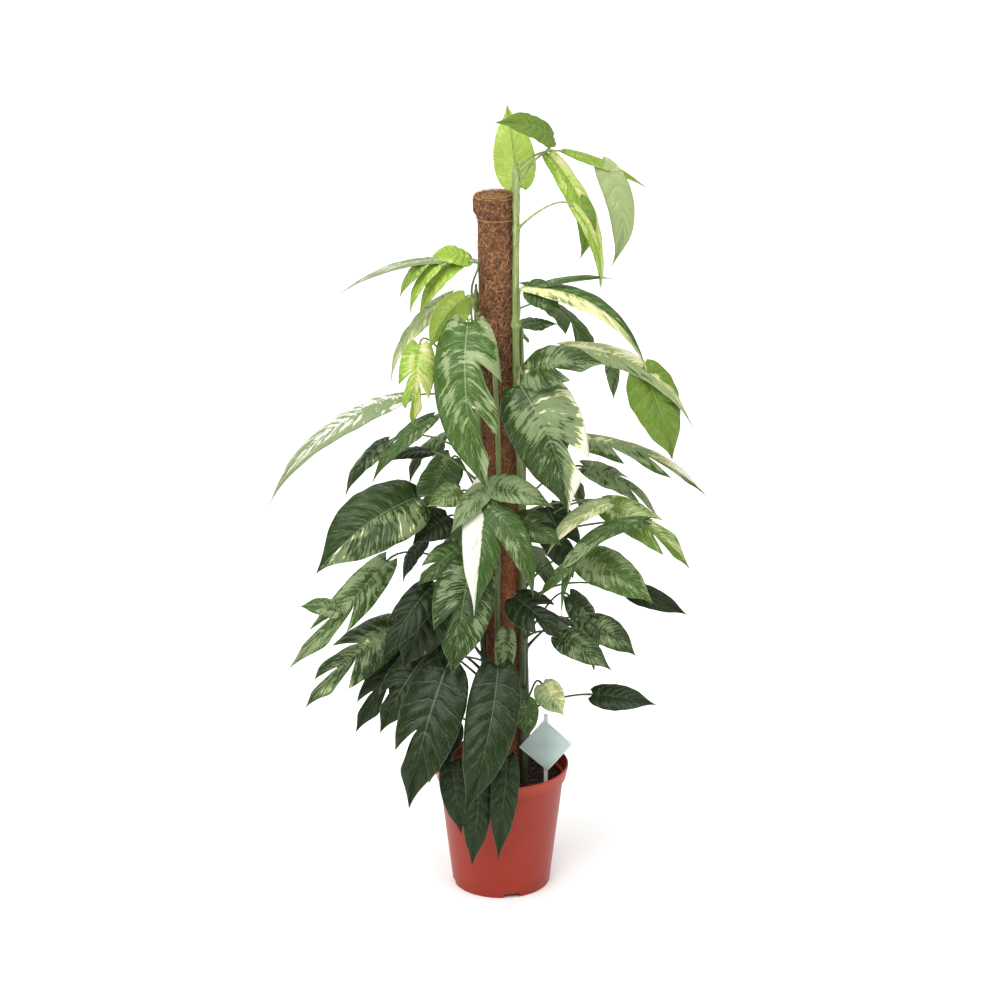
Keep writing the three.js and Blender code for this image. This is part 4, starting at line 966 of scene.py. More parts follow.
def leaf_finish(name, under):
    paint = Paint(name)
    start, out, along = paint.parts(paint.attribute("blade", "Vector"))
    tone, sage_share, cream_share = paint.parts(paint.attribute("look", "Color"))
    white_share = paint.attribute("look", "Alpha")
    sector, seed, edge = paint.parts(paint.attribute("marks", "Vector"))
    seed = seed * 7
    reach = out.size()

    def grain(inward, outward, shift, detail=2.0, rough=0.55):
        """Noise in vein coordinates that differs from leaf to leaf."""
        return paint.noise(paint.vector(inward, outward, seed + shift), 1.0, detail, rough)

    patch = grain(along * 3.2, out * 1.6, 0) - 0.5
    warp = grain(along * 6, out * 3, 7) - 0.5
    streak = grain(start * 46 + warp * 2, out * 1.1, 3, 5.0, 0.7) - 0.5
    fine = grain(start * 130 + warp * 3, out * 6, 11) - 0.5
    half = (out * 12).most(-1.0).least(1.0) * sector
    rim = out * reach * reach * reach * edge
    mark = patch * 0.95 + streak * 1.25 + fine * 0.25 + half * 0.35 + rim * 0.5 - MARK_START
    sage_mask = (mark + sage_share * 0.9).step(-0.02, 0.05)
    cream_mask = (mark + cream_share * 0.9).step(-0.01, 0.02)
    white_mask = (mark + white_share * 0.9).step(-0.01, 0.02)
    green = by_tone(paint, tone, OLD_GREEN, MID_GREEN, LIME_GREEN)
    sage = by_tone(paint, tone, OLD_SAGE, MID_SAGE, LIME_SAGE)
    mottle = grain(along * 12, out * 6, 5, 3.0) + fine
    green = paint.colour(mottle.step(0.3, 0.75) * 0.5, green, paint.colour(0.45, green, OLD_GREEN))
    # A painted sheen: pale grey-green streaks along the side veins stand in for soft light on the waxy skin.
    painted_sheen = grain(start * 80 + warp * 2, out * 2.4, 21, 3.0)
    green = paint.colour(painted_sheen.step(0.5, 0.74) * (sage_share * 0.9 + 0.2), green, sage)
    speck = grain(start * 190, out * 26, 31)
    green = paint.colour(speck.step(0.55, 0.7) * 0.35, green, sage)
    vein = ((start * SIDE_VEINS + warp * 0.5).maths("FRACT") - 0.5).size()
    line = vein.step(0.455, 0.5) * reach.step(0.0, 0.1)
    colour = paint.colour(line * 0.28, green, sage)
    colour = paint.colour(sage_mask * 0.88, colour, sage)
    colour = paint.colour(cream_mask, colour, CREAM)
    colour = paint.colour(white_mask, colour, WHITE)
    rib = 1 - reach.step(0.008, 0.03)
    colour = paint.colour(rib * 0.6, colour, by_tone(paint, tone, OLD_SAGE, MID_SAGE, LIME_SAGE))
    margin = reach.step(0.975, 0.995)
    colour = paint.colour(margin * 0.35, colour, MID_SAGE)
    # Young undersides take a painted glow of light shining through them.
    if under:
        colour = paint.colour(0.42, colour, by_tone(paint, tone, *UNDER_SKIN_AND_GLOW))
    fibre = grain(start * 220, out * 9, 0)
    height = vein.step(0.3, 0.5) * -0.6 + fibre * 0.2 + streak * 0.3
    paint.bump(height, 0.0014, 0.7)
    paint.surface.inputs["Specular IOR Level"].default_value = 0.34
    rough = 0.25 + fibre * 0.14 + sage_mask * 0.06
    paint.finish(base_color=colour, roughness=rough + (0.2 if under else 0.0))
    through = paint.node("ShaderNodeBsdfTranslucent", None, {"Color": colour})
    share = tone * 0.24 + 0.08
    mixed = paint.node("ShaderNodeMixShader", None, {0: share, 1: paint.surface.outputs[0], 2: through})
    paint.tree.links.new(mixed, paint.output.inputs[0])
    return paint.material


LEAF_TOP = leaf_finish("leaf_upper_skin", False)
LEAF_UNDER = leaf_finish("leaf_lower_skin", True)
print("leaf finish nodes", len(LEAF_TOP.node_tree.nodes))

# %% [markdown]
# Stems and petioles are grey-green low down, and pale green near the top.
# Fine streaks run up them, and corky brown spots come with age. The aerial roots are plain brown bark.


# %% Stem and root finishes
def stem_finish():
    paint = Paint("stem_skin")
    place = paint.place()
    _, _, height = paint.parts(place)
    age = height.step(0.25, 1.05)
    colour = paint.colour(age, srgb(56, 68, 40), srgb(136, 154, 92))
    streak = paint.noise(paint.stretched(place, (260, 260, 26)), 1.0)
    pale = paint.colour(age, srgb(104, 116, 82), srgb(196, 206, 160))
    colour = paint.colour(streak.step(0.45, 0.7) * 0.5, colour, pale)
    spots = paint.noise(place, 90.0)
    colour = paint.colour(spots.step(0.56, 0.72) * (1 - age * 0.4) * 0.6, colour, srgb(112, 90, 60))
    paint.bump(streak, 0.0005, 0.4)
    return paint.finish(base_color=colour, roughness=0.42 + streak * 0.15)


STEM_SKIN = stem_finish()
ROOT_BARK = plain_finish("root_bark", (92, 66, 40), (150, 122, 82), 0.8, 260.0, (0.0005, 0.6))
print("stem finish nodes", len(STEM_SKIN.node_tree.nodes))

# %% [markdown]
# Each leafy stem grew as one piece, so its blades, petioles, midribs and stem become one object.
# Solidify gives all the blades their thickness at once and puts the lower skin on the faces underneath.

# %% Build the leafy stems
BLADE_THICK = 0.7


def finished(piece, slot, *nodes, crease=180):
    """Shades a piece, soft but for edges past the crease angle, hangs it under the root and hides its plain
    nodes.
    """
    only(piece)
    if crease < 180:
        bpy.ops.object.shade_smooth_by_angle(angle=math.radians(crease))
    else:
        bpy.ops.object.shade_smooth()
    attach(piece, "root")
    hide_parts(*nodes)
    print(piece.name, "triangles", sum(len(face.vertices) - 2 for face in piece.data.polygons))


def leafy_stem(stem, chance):
    """Builds one leafy stem from its rows of the table."""
    leaves = []
    parent = None
    for row in LEAVES[stem]:
        leaves.append(Leaf(row, 6 * next(draws), parent))
        parent = parent if leaves[-1].form == "lobe" else leaves[-1]
    blades = join([bent(leaf) for leaf in leaves], stem + "_blades")
    coat(blades, LEAF_TOP, LEAF_UNDER)
    thick = blades.modifiers.new("skin", "SOLIDIFY")
    thick.thickness = BLADE_THICK * MM
    thick.offset = 0
    thick.material_offset = 1
    finish_modifier(blades, thick)
    bars = [stem_bar(stem)] + [midrib_of(leaf) for leaf in leaves]
    bars += [petiole_of(stem, leaf) for leaf in leaves if leaf.form != "lobe"]
    green = bars_to_mesh(stem + "_bars", bars, 2)
    coat(green, STEM_SKIN)
    roots = bars_to_mesh(stem + "_roots", aerial_roots(stem, chance), 1)
    coat(roots, ROOT_BARK)
    finished(join([blades, green, roots], stem.replace("stem", "leafy_stem")), "foliage", stem)


chance = random.Random(SEED)
for stem in STEMS:
    leafy_stem(stem, chance)
for blade in BLADES.values():
    bpy.data.objects.remove(blade)

# %% [markdown]
# Pot, soil, pole and stake are turned shapes, so each is a profile that is spun round the upright axis.
# Corners of a moulded part are never sharp, so the profile's corners are rounded before it is spun.
# The pole leans a little, and its pieces are slanted with it after they are spun.
# A Boolean can leave slivers where two seams meet, so cutters are turned a little and what is tiny is merged.

# %% Turned shapes
SEAM_MERGE = 1e-6
SLIVER = 0.002
SEAM_TURN = math.radians(4)
CORNER_SHARE = 0.45


def rounded(profile, radius, steps=3):
    """Rounds the corners of a profile of radius and height, but for its two ends."""
    profile = [np.array(spot, float) for spot in profile]
    out = [profile[0]]
    for i, corner in enumerate(profile[1:-1], 1):
        before = profile[i - 1] - corner
        after = profile[i + 1] - corner
        first = corner + unit(before) * min(radius, CORNER_SHARE * np.linalg.norm(before))
        last = corner + unit(after) * min(radius, CORNER_SHARE * np.linalg.norm(after))
        for share in np.linspace(0, 1, steps + 1):
            out.append((1 - share) ** 2 * first + 2 * share * (1 - share) * corner + share**2 * last)
    return out + [profile[-1]]


def edit(piece, *steps):
    """Runs mesh operators on all of a piece, each one given with its settings."""
    only(piece)
    bpy.ops.object.mode_set(mode="EDIT")
    for operator, settings in steps:
        bpy.ops.mesh.select_all(action="SELECT")
        operator(**settings)
    bpy.ops.object.mode_set(mode="OBJECT")


def spun(name, profile, sides):
    """Spins a profile, which runs from the axis to the axis or closes on itself, into a solid."""
    bpy.ops.mesh.primitive_circle_add(vertices=len(profile))
    piece = bpy.context.object
    piece.name = name
    for vertex, (radius, height) in zip(piece.data.vertices, profile):
        vertex.co = (radius * MM, 0, height * MM)
    edit(
        piece,
        (bpy.ops.mesh.spin, {"steps": sides, "angle": 2 * math.pi, "center": (0, 0, 0), "axis": (0, 0, 1)}),
        (bpy.ops.mesh.remove_doubles, {"threshold": SEAM_MERGE}),
        (bpy.ops.mesh.delete_loose, {"use_faces": False}),
        (bpy.ops.mesh.normals_make_consistent, {"inside": False}),
    )
    return place_in_mesh(piece)


def points_of(piece):
    return numbers(piece.data.vertices, "co") / MM


def set_points(piece, spots):
    piece.data.vertices.foreach_set("co", (np.asarray(spots) * MM).ravel())
    piece.data.update()


def leaning(piece):
    """Slants an upright piece along the pole's middle."""
    spots = points_of(piece)
    set_points(piece, spots + pole_middle(spots[:, 2]) * [1, 0, 0])
    return piece


def carve(piece, cutter):
    """Cuts one closed piece away from another, with flat faces before it and no slivers after it."""
    edit(piece, (bpy.ops.mesh.quads_convert_to_tris, {}))
    knife = piece.modifiers.new("carve", "BOOLEAN")
    knife.object = cutter
    knife.operation = "DIFFERENCE"
    knife.solver = "EXACT"
    finish_modifier(piece, knife)
    bpy.data.objects.remove(cutter)
    merge = {"threshold": SLIVER * MM}
    edit(piece, (bpy.ops.mesh.remove_doubles, merge), (bpy.ops.mesh.dissolve_degenerate, merge))


# %% [markdown]
# The pot is a thin moulded bucket with a stepped lip, a raised floor with drain holes, and a notched foot.
# It could be built as rings and bridged, but one spun profile gives the inside and the outside together.
# The holes and notches are cut out afterwards with a Boolean, as a drill and a file would.

# %% The pot's shape
RIM_RADIUS = 105
POT_HEIGHT = 198
BASE_RADIUS = 75.6
WALL = 1.9
LIP_DROP = 22
LIP_STEP = 4
FOOT_FLARE = 0.8
FOOT_ROUND = 1.5
FLOOR_RISE = 8
FLOOR_THICK = 2.4
POT_SIDES = 160
EDGE_ROUND = 0.8
PAD_RADIUS = 24
DRAIN_HOLES = 8
DRAIN_RADIUS = 5
DRAIN_CIRCLE = 50
DRAIN_DEPTH = 14
DRAIN_SIDES = 24
NOTCHES = 4
NOTCH_SIZE = (20, 24, 13)
NOTCH_TURN = -78


def pot_profile():
    """Radius and height of each corner, from the middle of the pad out, up over the rim and back inside."""
    floor_top = FLOOR_RISE + FLOOR_THICK
    lip = POT_HEIGHT - LIP_DROP
    step = RIM_RADIUS - LIP_STEP
    return [
        (0, 0), (PAD_RADIUS, 0), (PAD_RADIUS + 3, FLOOR_RISE), (BASE_RADIUS - 5, FLOOR_RISE),
        (BASE_RADIUS - 3.4, 0), (BASE_RADIUS, 0), (BASE_RADIUS + FOOT_FLARE, FOOT_ROUND),
        (step - LIP_STEP, lip - 1), (step, lip), (RIM_RADIUS - 0.4, POT_HEIGHT - 5),
        (RIM_RADIUS, POT_HEIGHT - 1.5), (RIM_RADIUS - 0.8, POT_HEIGHT), (RIM_RADIUS - 2.4, POT_HEIGHT),
        (step - WALL, lip + 2),
        (step - LIP_STEP - WALL, lip - 1), (BASE_RADIUS - 0.9, floor_top), (PAD_RADIUS, floor_top),
        (PAD_RADIUS - 3, FLOOR_THICK), (0, FLOOR_THICK),
    ]


def pot_cutters():
    """The drain holes and the notches of the foot, as one piece."""
    cutters = []
    for hole in range(DRAIN_HOLES):
        angle = 2 * math.pi * hole / DRAIN_HOLES
        place = (DRAIN_CIRCLE * math.cos(angle) * MM, DRAIN_CIRCLE * math.sin(angle) * MM, FLOOR_RISE * MM)
        bpy.ops.mesh.primitive_cylinder_add(
            vertices=DRAIN_SIDES, radius=DRAIN_RADIUS * MM, depth=DRAIN_DEPTH * MM, location=place,
            rotation=(0, 0, SEAM_TURN),
        )
        cutters.append(bpy.context.object)
    for notch in range(NOTCHES):
        angle = math.radians(NOTCH_TURN) + 2 * math.pi * notch / NOTCHES
        place = (BASE_RADIUS * math.cos(angle) * MM, BASE_RADIUS * math.sin(angle) * MM, 0)
        bpy.ops.mesh.primitive_cube_add(size=1, location=place, rotation=(0, 0, angle))
        bpy.context.object.scale = [size * MM for size in NOTCH_SIZE]
        cutters.append(bpy.context.object)
    return place_in_mesh(join(cutters, "pot_cutters"))


pot = spun("pot_shell", rounded(pot_profile(), EDGE_ROUND), POT_SIDES)
carve(pot, pot_cutters())
print("pot faces", len(pot.data.polygons))

# %% [markdown]
# The plastic is a satin brick red, a little paler where the mould's flow left upright streaks and at the rim.
# A little soil dust has settled low on the wall. The streaks are noise that is stretched upwards.


# %% The pot's finish
def pot_finish():
    paint = Paint("pot_plastic_red")
    place = paint.place()
    _, _, height = paint.parts(place)
    flow = paint.noise(paint.stretched(place, (60, 60, 5)), 1.0)
    cloud = paint.noise(place, 14.0)
    dust = paint.noise(place, 160.0, 5.0)
    colour = paint.colour(cloud * 0.7 + flow * 0.3, srgb(140, 43, 26), srgb(160, 57, 38))
    colour = paint.colour(height.step(0.174, 0.198) * 0.45, colour, srgb(182, 78, 56))
    low = 1 - height.step(0.0, 0.03)
    colour = paint.colour(low * dust.step(0.5, 0.65) * 0.4, colour, srgb(120, 70, 54))
    colour = paint.colour(dust.step(0.66, 0.78) * 0.25, colour, srgb(206, 150, 128))
    paint.bump(flow * 0.6 + dust * 0.2, 0.0004, 0.25)
    paint.surface.inputs["Specular IOR Level"].default_value = 0.36
    return paint.finish(base_color=colour, roughness=0.3 + dust * 0.12)


coat(pot, pot_finish())
finished(pot, "pot_plastic", "pot", crease=30)

# %% [markdown]
# Potting soil fills the pot to below its lip and lies a little higher in the middle.
# Its body is spun with many rings at the top, which noise then pushes up and down.
# Holes for the pole, its stake and the stems are cut into it, as in the frame.

# %% The soil's body
SOIL_MOUND = 3
SOIL_SUNK = 1.5
SOIL_EDGE = 88
SOIL_RINGS = 34
SOIL_SIDES = 110
SOIL_LUMPS = ((1.5, 14), (0.8, 5))
POLE_FOOT = 40
STAKE_FOOT = 16
STAKE_RADIUS = 12


def wall_radius(height):
    """How far the soil reaches inside the pot's wall."""
    share = (height - FOOT_ROUND) / (POT_HEIGHT - LIP_DROP - 1 - FOOT_ROUND)
    return mix(BASE_RADIUS + FOOT_FLARE, RIM_RADIUS - 2 * LIP_STEP, share) - WALL - GAP


def soil_top(radius):
    return SOIL_TOP + SOIL_MOUND * (1 - smooth(20, 90, radius)) - SOIL_SUNK


def rough_ground(x, y):
    spot = Vector((x, y, 0))
    return sum(height * noise.noise(spot / size) for height, size in SOIL_LUMPS)


def leaning_hole(radius, foot, depth, sides):
    """A round cutter that leans with the pole."""
    bpy.ops.mesh.primitive_cylinder_add(
        vertices=sides, radius=radius * MM, depth=depth * MM, location=(0, 0, (foot + depth / 2) * MM),
        rotation=(0, 0, SEAM_TURN),
    )
    return leaning(place_in_mesh(bpy.context.object))


def soil_body():
    floor = FLOOR_RISE + FLOOR_THICK + GAP
    edge = SOIL_TOP - 8
    profile = [(0, floor), (wall_radius(floor) - 1.2, floor), (wall_radius(edge) - 0.8, edge)]
    profile += [(radius, soil_top(radius)) for radius in np.linspace(SOIL_EDGE, 0, SOIL_RINGS)]
    soil = spun("soil_body", profile, SOIL_SIDES)
    spots = points_of(soil)
    for spot in spots:
        if spot[2] > SOIL_TOP - 6:
            spot[2] += rough_ground(spot[0], spot[1])
    set_points(soil, spots)
    cutters = [
        leaning_hole(POLE_RADIUS + 2 * GAP, POLE_FOOT - GAP, depth=200, sides=64),
        leaning_hole(STAKE_RADIUS + GAP, STAKE_FOOT - GAP, depth=30, sides=32),
    ]
    for stem, (_, _, radius) in STEMS.items():
        heights = np.array([STEM_FOOT - 2.0, SOIL_TOP + 20])
        cutters.append(bars_to_mesh(stem + "_hole", [(stem_spot(stem, heights), radius + 0.8)], 3))
    for cutter in cutters:
        carve(soil, cutter)
    return soil


soil = soil_body()
print("soil faces", len(soil.data.polygons))

# %% [markdown]
# The peat is crumbly, with lumps of all sizes and thin bits of coir lying about on it.
# A displaced surface can't overhang, so the lumps are small balls, each bent by noise of its own.
# They are strewn at random over what is free of the pole, the stems and the label's stick.

# %% Crumbs and coir bits
STREW_RADIUS = 86
POLE_CLEAR = 6
STEM_CLEAR = 10
STICK_CLEAR = 9
CRUMBS = 420
CRUMB_SIZES = (0.9, 1.2, 1.6, 2.2, 3.0)
SOIL_FIBRES = 90
CARD_CENTRE = (69, -34, 240)


def free_spot(chance):
    """A place on the soil that is clear of the pole and the stems."""
    while True:
        angle = chance.uniform(0, 2 * math.pi)
        radius = math.sqrt(chance.uniform(0.18, 1)) * STREW_RADIUS
        x, y = radius * math.cos(angle), radius * math.sin(angle)
        clear = math.hypot(x - POLE_BASE_X, y) > POLE_RADIUS + POLE_CLEAR
        for stem in STEMS:
            spot = stem_spot(stem, np.array(float(SOIL_TOP)))
            clear = clear and math.hypot(x - spot[0], y - spot[1]) > STEM_CLEAR
        clear = clear and math.hypot(x - CARD_CENTRE[0], y - CARD_CENTRE[1] + 4) > STICK_CLEAR
        if clear:
            return x, y, soil_top(radius) + rough_ground(x, y)


def crumbs(chance):
    pieces = []
    for _ in range(CRUMBS):
        x, y, height = free_spot(chance)
        size = chance.choice(CRUMB_SIZES) * chance.uniform(0.8, 1.3)
        bpy.ops.mesh.primitive_ico_sphere_add(
            subdivisions=2, radius=size * MM, location=(x * MM, y * MM, (height + 0.3 * size) * MM),
            rotation=[chance.uniform(0, 6) for _ in range(3)],
        )
        lump = bpy.context.object
        lump.scale = (chance.uniform(0.8, 1.3), chance.uniform(0.6, 1.0), chance.uniform(0.5, 0.9))
        seed = chance.uniform(0, 100)
        for vertex in lump.data.vertices:
            vertex.co *= 1 + 0.3 * noise.noise(vertex.co / (size * MM) * 1.4 + Vector((seed, 0, 0)))
        pieces.append(lump)
    return place_in_mesh(join(pieces, "soil_crumbs"))


def soil_fibres(chance):
    bars = []
    for _ in range(SOIL_FIBRES):
        x, y, height = free_spot(chance)
        turn = chance.uniform(0, 2 * math.pi)
        share = np.linspace(-1, 1, 6)
        reach = chance.uniform(3, 8)
        bend = chance.uniform(-2, 2) * share**2
        spots = np.stack([
            x + reach * share * math.cos(turn) - bend * math.sin(turn),
            y + reach * share * math.sin(turn) + bend * math.cos(turn),
            height + 0.6 + chance.uniform(0, 1.5) * (1 - share**2),
        ], 1)
        bars.append((spots, chance.uniform(0.2, 0.4)))
    return bars_to_mesh("soil_fibres", bars, 0)


chance = random.Random(SEED + 1)
lumps = crumbs(chance)
bits = soil_fibres(chance)
print("crumb faces", len(lumps.data.polygons), "coir bit faces", len(bits.data.polygons))

# %% [markdown]
# Moist peat is nearly black and very dull, with a few paler grains in it.
# Fine noise makes the clods, and cells make the grains, which also stand up a little.


# %% The soil's finish
def soil_finish():
    paint = Paint("peat_soil")
    place = paint.place()
    clod = paint.noise(place, 120.0, 5.0)
    grit = paint.cells(place, 420.0)
    colour = paint.colour(clod.step(0.35, 0.7), srgb(24, 16, 13), srgb(58, 38, 28))
    colour = paint.colour(grit.step(0.25, 0.1) * 0.5, colour, srgb(104, 74, 50))
    paint.bump(clod + grit * 0.4, 0.0015, 0.8)
    return paint.finish(base_color=colour, roughness=0.88 + clod * 0.1)


peat = soil_finish()
coat(soil, peat)
coat(lumps, peat)
coat(bits, plain_finish("coir_bits", (120, 78, 46), (186, 142, 96), 0.85, 300.0, (0.0003, 0.5)))
finished(join([soil, lumps, bits], "potting_soil"), "potting_soil", "soil", crease=60)

# %% [markdown]
# The pole is a wooden stake wrapped in coconut fibre, felted into a mat and tied with twine.
# Its surface is spun with fine rings and sunk by noise, so that it never grows past the plain pole.
# Above the top tie the wrap springs open, so the profile flares there and shifts a little to one side.

# %% The felt of the pole
POLE_FLARE = 33
FLARE_SHIFT = -2.4
POLE_TOP = 1100
STAKE_TOP = 1080
TWINE_HEIGHTS = (1064, 640, 300)
POLE_BUMP = 0.011
POLE_SIDES = 96
RING_STEP = 4


def pole_radius(height):
    """The plain radius of the wrap at a height."""
    waist = TWINE_HEIGHTS[0]
    return np.interp(height, [POLE_FOOT, waist - 40, waist, waist + 12, POLE_TOP - 7, POLE_TOP - 1],
                     [POLE_RADIUS, POLE_RADIUS, POLE_RADIUS - GAP, POLE_FLARE, POLE_FLARE, POLE_FLARE - 5])


def flare_shift(height):
    """How far the loose top of the wrap sits off the pole's middle."""
    waist = TWINE_HEIGHTS[0]
    return FLARE_SHIFT * smooth(waist, waist + 12, height)


def pole_swell(angle, height):
    return 1 - POLE_BUMP * (1 + np.sin(3 * angle + height / POT_HEIGHT))


def coir_body():
    """The felted wrap with its flared top, closed round the bore for the stake."""
    heights = np.arange(POLE_FOOT, POLE_TOP - 7, RING_STEP)
    outer = [(pole_radius(height), height) for height in heights]
    outer += [(POLE_FLARE, POLE_TOP - 7), (POLE_FLARE - 1.2, POLE_TOP - 3.5), (POLE_FLARE - 5, POLE_TOP - 1)]
    outer += [(radius, POLE_TOP - 0.2 * radius / POLE_RADIUS) for radius in (20, 15, 10, 5, 0)]
    bore = STAKE_RADIUS + GAP
    inner = [(0, STAKE_TOP + GAP), (bore, STAKE_TOP + GAP), (bore, POLE_FOOT)]
    body = spun("coir_body", outer + inner, POLE_SIDES)
    spots = points_of(body)
    angle = np.arctan2(spots[:, 1], spots[:, 0])
    out = np.hypot(spots[:, 0], spots[:, 1])
    skin = (out > bore + 1) | (spots[:, 2] > POLE_TOP - 4)
    shrink = pole_swell(angle, spots[:, 2])
    for i, spot in enumerate(spots):
        if not skin[i]:
            continue
        place = Vector((spot[0] / 3, spot[1] / 3, spot[2] / 6))
        lump = 0.7 * abs(noise.noise(place)) + 0.5 * abs(noise.noise(place * 2.7)) + 0.25
        spot[:2] *= shrink[i] * (1 - lump / POLE_RADIUS)
        if spot[2] > POLE_TOP - 4:
            spot[2] -= 1.4 * lump
    spots[:, 0] += np.where(skin, flare_shift(spots[:, 2]), 0)
    set_points(body, spots)
    return leaning(body)


wrap = coir_body()
print("felt faces", len(wrap.data.polygons))

# %% [markdown]
# What makes coir look like coir is its loose fibres, and a bump alone would leave the pole's edge smooth.
# So nearly three thousand thin bars wander over the felt, and some of them stand off it with one end.
# A few hundred more curl over the open top. They are few-sided, because each is thinner than a pixel.

# %% Loose fibres
FIBRES = 2900
FIBRE_POINTS = 6
FIBRE_LENGTH = (16, 52)
FIBRE_RADIUS = (0.14, 0.3)
FIBRE_CURL = 1.8
LOOSE_SHARE = 0.3
LOOSE_LIFT = 2.4
TOP_FIBRES = 300
TOP_RISE = 5


def on_wrap(angles, heights, reach):
    """Places round the wrap, which move with its loose top."""
    return round_pole(angles, heights, reach) + flare_shift(heights)[:, None] * [1, 0, 0]


def coir_strands(chance):
    """Fibres that lie on the wrap, each drifting round it, and curls that stand up at the top."""
    bars = []
    for _ in range(FIBRES):
        length = chance.uniform(*FIBRE_LENGTH)
        steepness = chance.gauss(0.9, 0.8)
        angle = chance.uniform(0, 2 * math.pi)
        height = chance.uniform(POLE_FOOT + 40, POLE_TOP - 10)
        share = np.linspace(0, 1, FIBRE_POINTS)
        curl = chance.uniform(-FIBRE_CURL, FIBRE_CURL)
        heading = steepness + curl * share
        run = length * share
        heights = height + run * np.sin(heading)
        angles = angle + run * np.cos(heading) / POLE_RADIUS
        heights = np.clip(heights, POLE_FOOT + 2, POLE_TOP - 4)
        thick = chance.uniform(*FIBRE_RADIUS)
        lift = chance.uniform(0, LOOSE_LIFT) if chance.random() < LOOSE_SHARE else 0
        reach = pole_radius(heights) * pole_swell(angles, heights) - 0.25 + lift * share**2
        bars.append((on_wrap(angles, heights, reach - thick), thick))
    for _ in range(TOP_FIBRES):
        angle = chance.uniform(0, 2 * math.pi)
        share = np.linspace(0, 1, 8)
        start = math.sqrt(chance.random()) * (POLE_FLARE - 3)
        angles = angle + chance.uniform(-1.6, 1.6) * share
        reach = np.minimum(start + chance.uniform(-8, 10) * share, POLE_FLARE - 0.5)
        heights = POLE_TOP - 1.6 + chance.uniform(0, TOP_RISE) * np.sin(math.pi * share)
        heights = np.where(reach > POLE_FLARE - 4, heights - 3, heights)
        bars.append((on_wrap(angles, heights, reach), chance.uniform(0.14, 0.28)))
    return bars_to_mesh("coir_strands", bars, 0)


strands = coir_strands(random.Random(SEED + 2))
print("fibre faces", len(strands.data.polygons))

# %% [markdown]
# Coir is a warm brown tangle, redder low down, and its loose fibres are paler.
# One finish serves both with different colours: fine noise for the tangle, broad noise for darker patches.


# %% Coir finish
def coir_finish(name, *colours):
    dark, tan, low_tint = [srgb(*colour) for colour in colours]
    paint = Paint(name)
    place = paint.place()
    _, _, height = paint.parts(place)
    tangle = paint.noise(place, 240.0, 5.0, 0.7)
    patch = paint.noise(place, 28.0)
    colour = paint.colour(tangle.step(0.3, 0.7), dark, tan)
    colour = paint.colour((1 - height.step(0.5, 0.85)) * 0.55, colour, low_tint)
    colour = paint.colour(patch.step(0.5, 0.75) * 0.4, colour, dark)
    paint.bump(tangle, 0.0012, 0.9)
    return paint.finish(base_color=colour, roughness=0.86 + patch * 0.1)


coat(wrap, coir_finish("coir_felt", (58, 34, 22), (142, 98, 68), (146, 78, 50)))
coat(strands, coir_finish("coir_strand", (126, 86, 56), (226, 182, 130), (194, 118, 72)))
finished(join([wrap, strands], "coir_pole"), "coir_fibre", "fibre_wrap")

# %% [markdown]
# Each tie is two-ply twine laid once round the pole, with a small knot and two short ends.
# Each ply is a thin bar that winds round the middle of the twine, which gives the twist of real string.

# %% Twine
TWISTS = 36
PLY_OFFSET = 0.36
PLY_RADIUS = 0.4
KNOT_RADIUS = 0.5
KNOT_SIZE = (1.5, 1.3)
END_DROP = 9
END_SPREAD = 0.16
TURN_POINTS = 361
TIE_TURN = -120
TIE_STEP = 75


def tie(name, height, turn):
    """Two plies once round the pole, two hanging ends and the loop of the knot."""
    turns = np.linspace(0, 2 * math.pi, TURN_POINTS)
    middle = POLE_RADIUS + GAP + TWINE_RADIUS
    bars = []
    for start in (0, math.pi):
        twist = TWISTS * turns + start
        reach = middle + PLY_OFFSET * np.cos(twist)
        heights = height + PLY_OFFSET * np.sin(twist)
        bars.append((round_pole(turns, heights, reach), PLY_RADIUS))
    share = np.linspace(0, 1, 9)
    for side in (-1, 1):
        angles = turn + side * (0.03 + END_SPREAD * share)
        heights = height - END_DROP * share**1.6 + side * 0.6
        bars.append((round_pole(angles, heights, middle + 0.4 * share), PLY_RADIUS))
    loop = np.linspace(0, 2 * math.pi, 25)
    wide, tall = KNOT_SIZE
    angles = turn + wide / POLE_RADIUS * np.cos(loop)
    bars.append((round_pole(angles, height + tall * np.sin(loop), middle + 0.9), KNOT_RADIUS))
    return bars_to_mesh(name, bars, 1)


jute = plain_finish("jute_twine", (150, 112, 70), (212, 176, 122), 0.8, 700.0, (0.0003, 0.7))
for i, height in enumerate(TWINE_HEIGHTS):
    twine = tie("twine_tie_%d" % (i + 1), height, math.radians(TIE_TURN + TIE_STEP * i))
    coat(twine, jute)
    finished(twine, "twine", "twine_%d" % (i + 1))

# %% [markdown]
# The stake inside the wrap is a plain turned rod of softwood with a cut point, hidden except from below.
# Its grain runs up the rod, so the noise is stretched along the height.

# %% Stake
UPRIGHT_GRAIN = (420, 420, 14)
STAKE_POINT = 22
STAKE_TIP = 0.4
STAKE_ROUND = 1.0
STAKE_SIDES = 40

stake_profile = [(0, STAKE_FOOT), (STAKE_RADIUS * STAKE_TIP, STAKE_FOOT)]
stake_profile += [(STAKE_RADIUS, STAKE_FOOT + STAKE_POINT)]
stake_profile += [(STAKE_RADIUS, STAKE_TOP), (0, STAKE_TOP)]
stake = leaning(spun("wooden_stake", rounded(stake_profile, STAKE_ROUND), STAKE_SIDES))
wood = plain_finish("softwood", (140, 104, 66), (190, 152, 106), 0.7, 1.0, (0.0004, 0.5), UPRIGHT_GRAIN, 4.0)
coat(stake, wood)
finished(stake, "stake_wood", "stake", crease=35)

# %% [markdown]
# The plant label is a thin square card that stands on its corner, with a plastic pick behind it.
# Both are boxes with a small bevel, made round one middle and then leaned back together.
# The card's surface is a pale grey-green print, a little deeper in its middle, and bears no words.

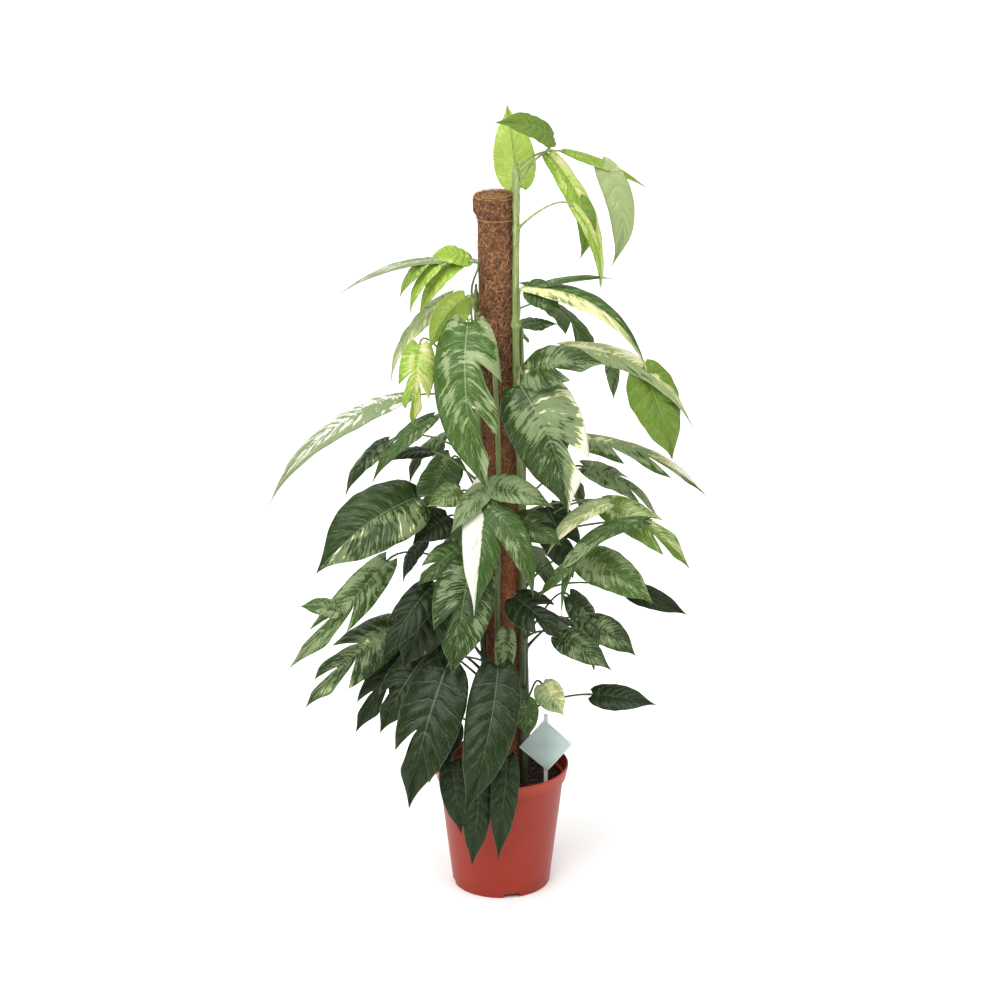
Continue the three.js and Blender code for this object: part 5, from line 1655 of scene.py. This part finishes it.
# %% Label
CARD_SIDE = 59
CARD_THICK = 1.2
CARD_LEAN = 5
CARD_TURN = 41
PICK = (6, 2.2)
PICK_FOOT = 120
PICK_TOP = 50
CARD_BEVEL = 0.35
PICK_BEVEL = 0.5
BEVEL_STEPS = 3


def box(name, size, middle, bevel):
    bpy.ops.mesh.primitive_cube_add(size=1, location=[value * MM for value in middle])
    piece = bpy.context.object
    piece.name = name
    piece.scale = [value * MM for value in size]
    place_in_mesh(piece)
    edge = piece.modifiers.new("bevel", "BEVEL")
    edge.width = bevel * MM
    edge.segments = BEVEL_STEPS
    finish_modifier(piece, edge)
    return piece


def lean_label(piece, turn):
    """Turns a piece of the label in its own plane, leans it back and puts it in its place."""
    place = Matrix.Translation([value * MM for value in CARD_CENTRE])
    piece.data.transform(Matrix.Rotation(math.radians(turn), 4, "Y"))
    piece.data.transform(place @ Matrix.Rotation(math.radians(-CARD_LEAN), 4, "X"))
    return piece


def card_finish():
    paint = Paint("label_card")
    place = paint.place()
    x, _, height = paint.parts(place)
    across = (x - CARD_CENTRE[0] * MM).size() + (height - CARD_CENTRE[2] * MM).size()
    paper = paint.noise(place, 500.0)
    colour = paint.colour(across.step(0.0, 0.034), srgb(168, 190, 184), srgb(190, 206, 202))
    colour = paint.colour(across.step(0.0395, 0.0405) * 0.7, colour, srgb(226, 232, 228))
    paint.bump(paper, 0.0001, 0.2)
    return paint.finish(base_color=colour, roughness=0.42 + paper * 0.1)


card_size = (CARD_SIDE, CARD_THICK, CARD_SIDE)
card = lean_label(box("label_square", card_size, (0, 0, 0), CARD_BEVEL), CARD_TURN)
coat(card, card_finish())
finished(card, "tag_card", "tag_card", crease=40)
pick_low = PICK_FOOT - CARD_CENTRE[2]
pick_size = (PICK[0], PICK[1], PICK_TOP - pick_low)
pick_middle = (0, CARD_THICK / 2 + GAP + PICK[1] / 2, (PICK_TOP + pick_low) / 2)
pick = lean_label(box("label_pick", pick_size, pick_middle, PICK_BEVEL), 0)
coat(pick, plain_finish("label_pick_plastic", (206, 210, 202), (232, 234, 228), 0.4, 90.0, (0.0002, 0.2)))
finished(pick, "tag_stick", "tag_stick", crease=40)
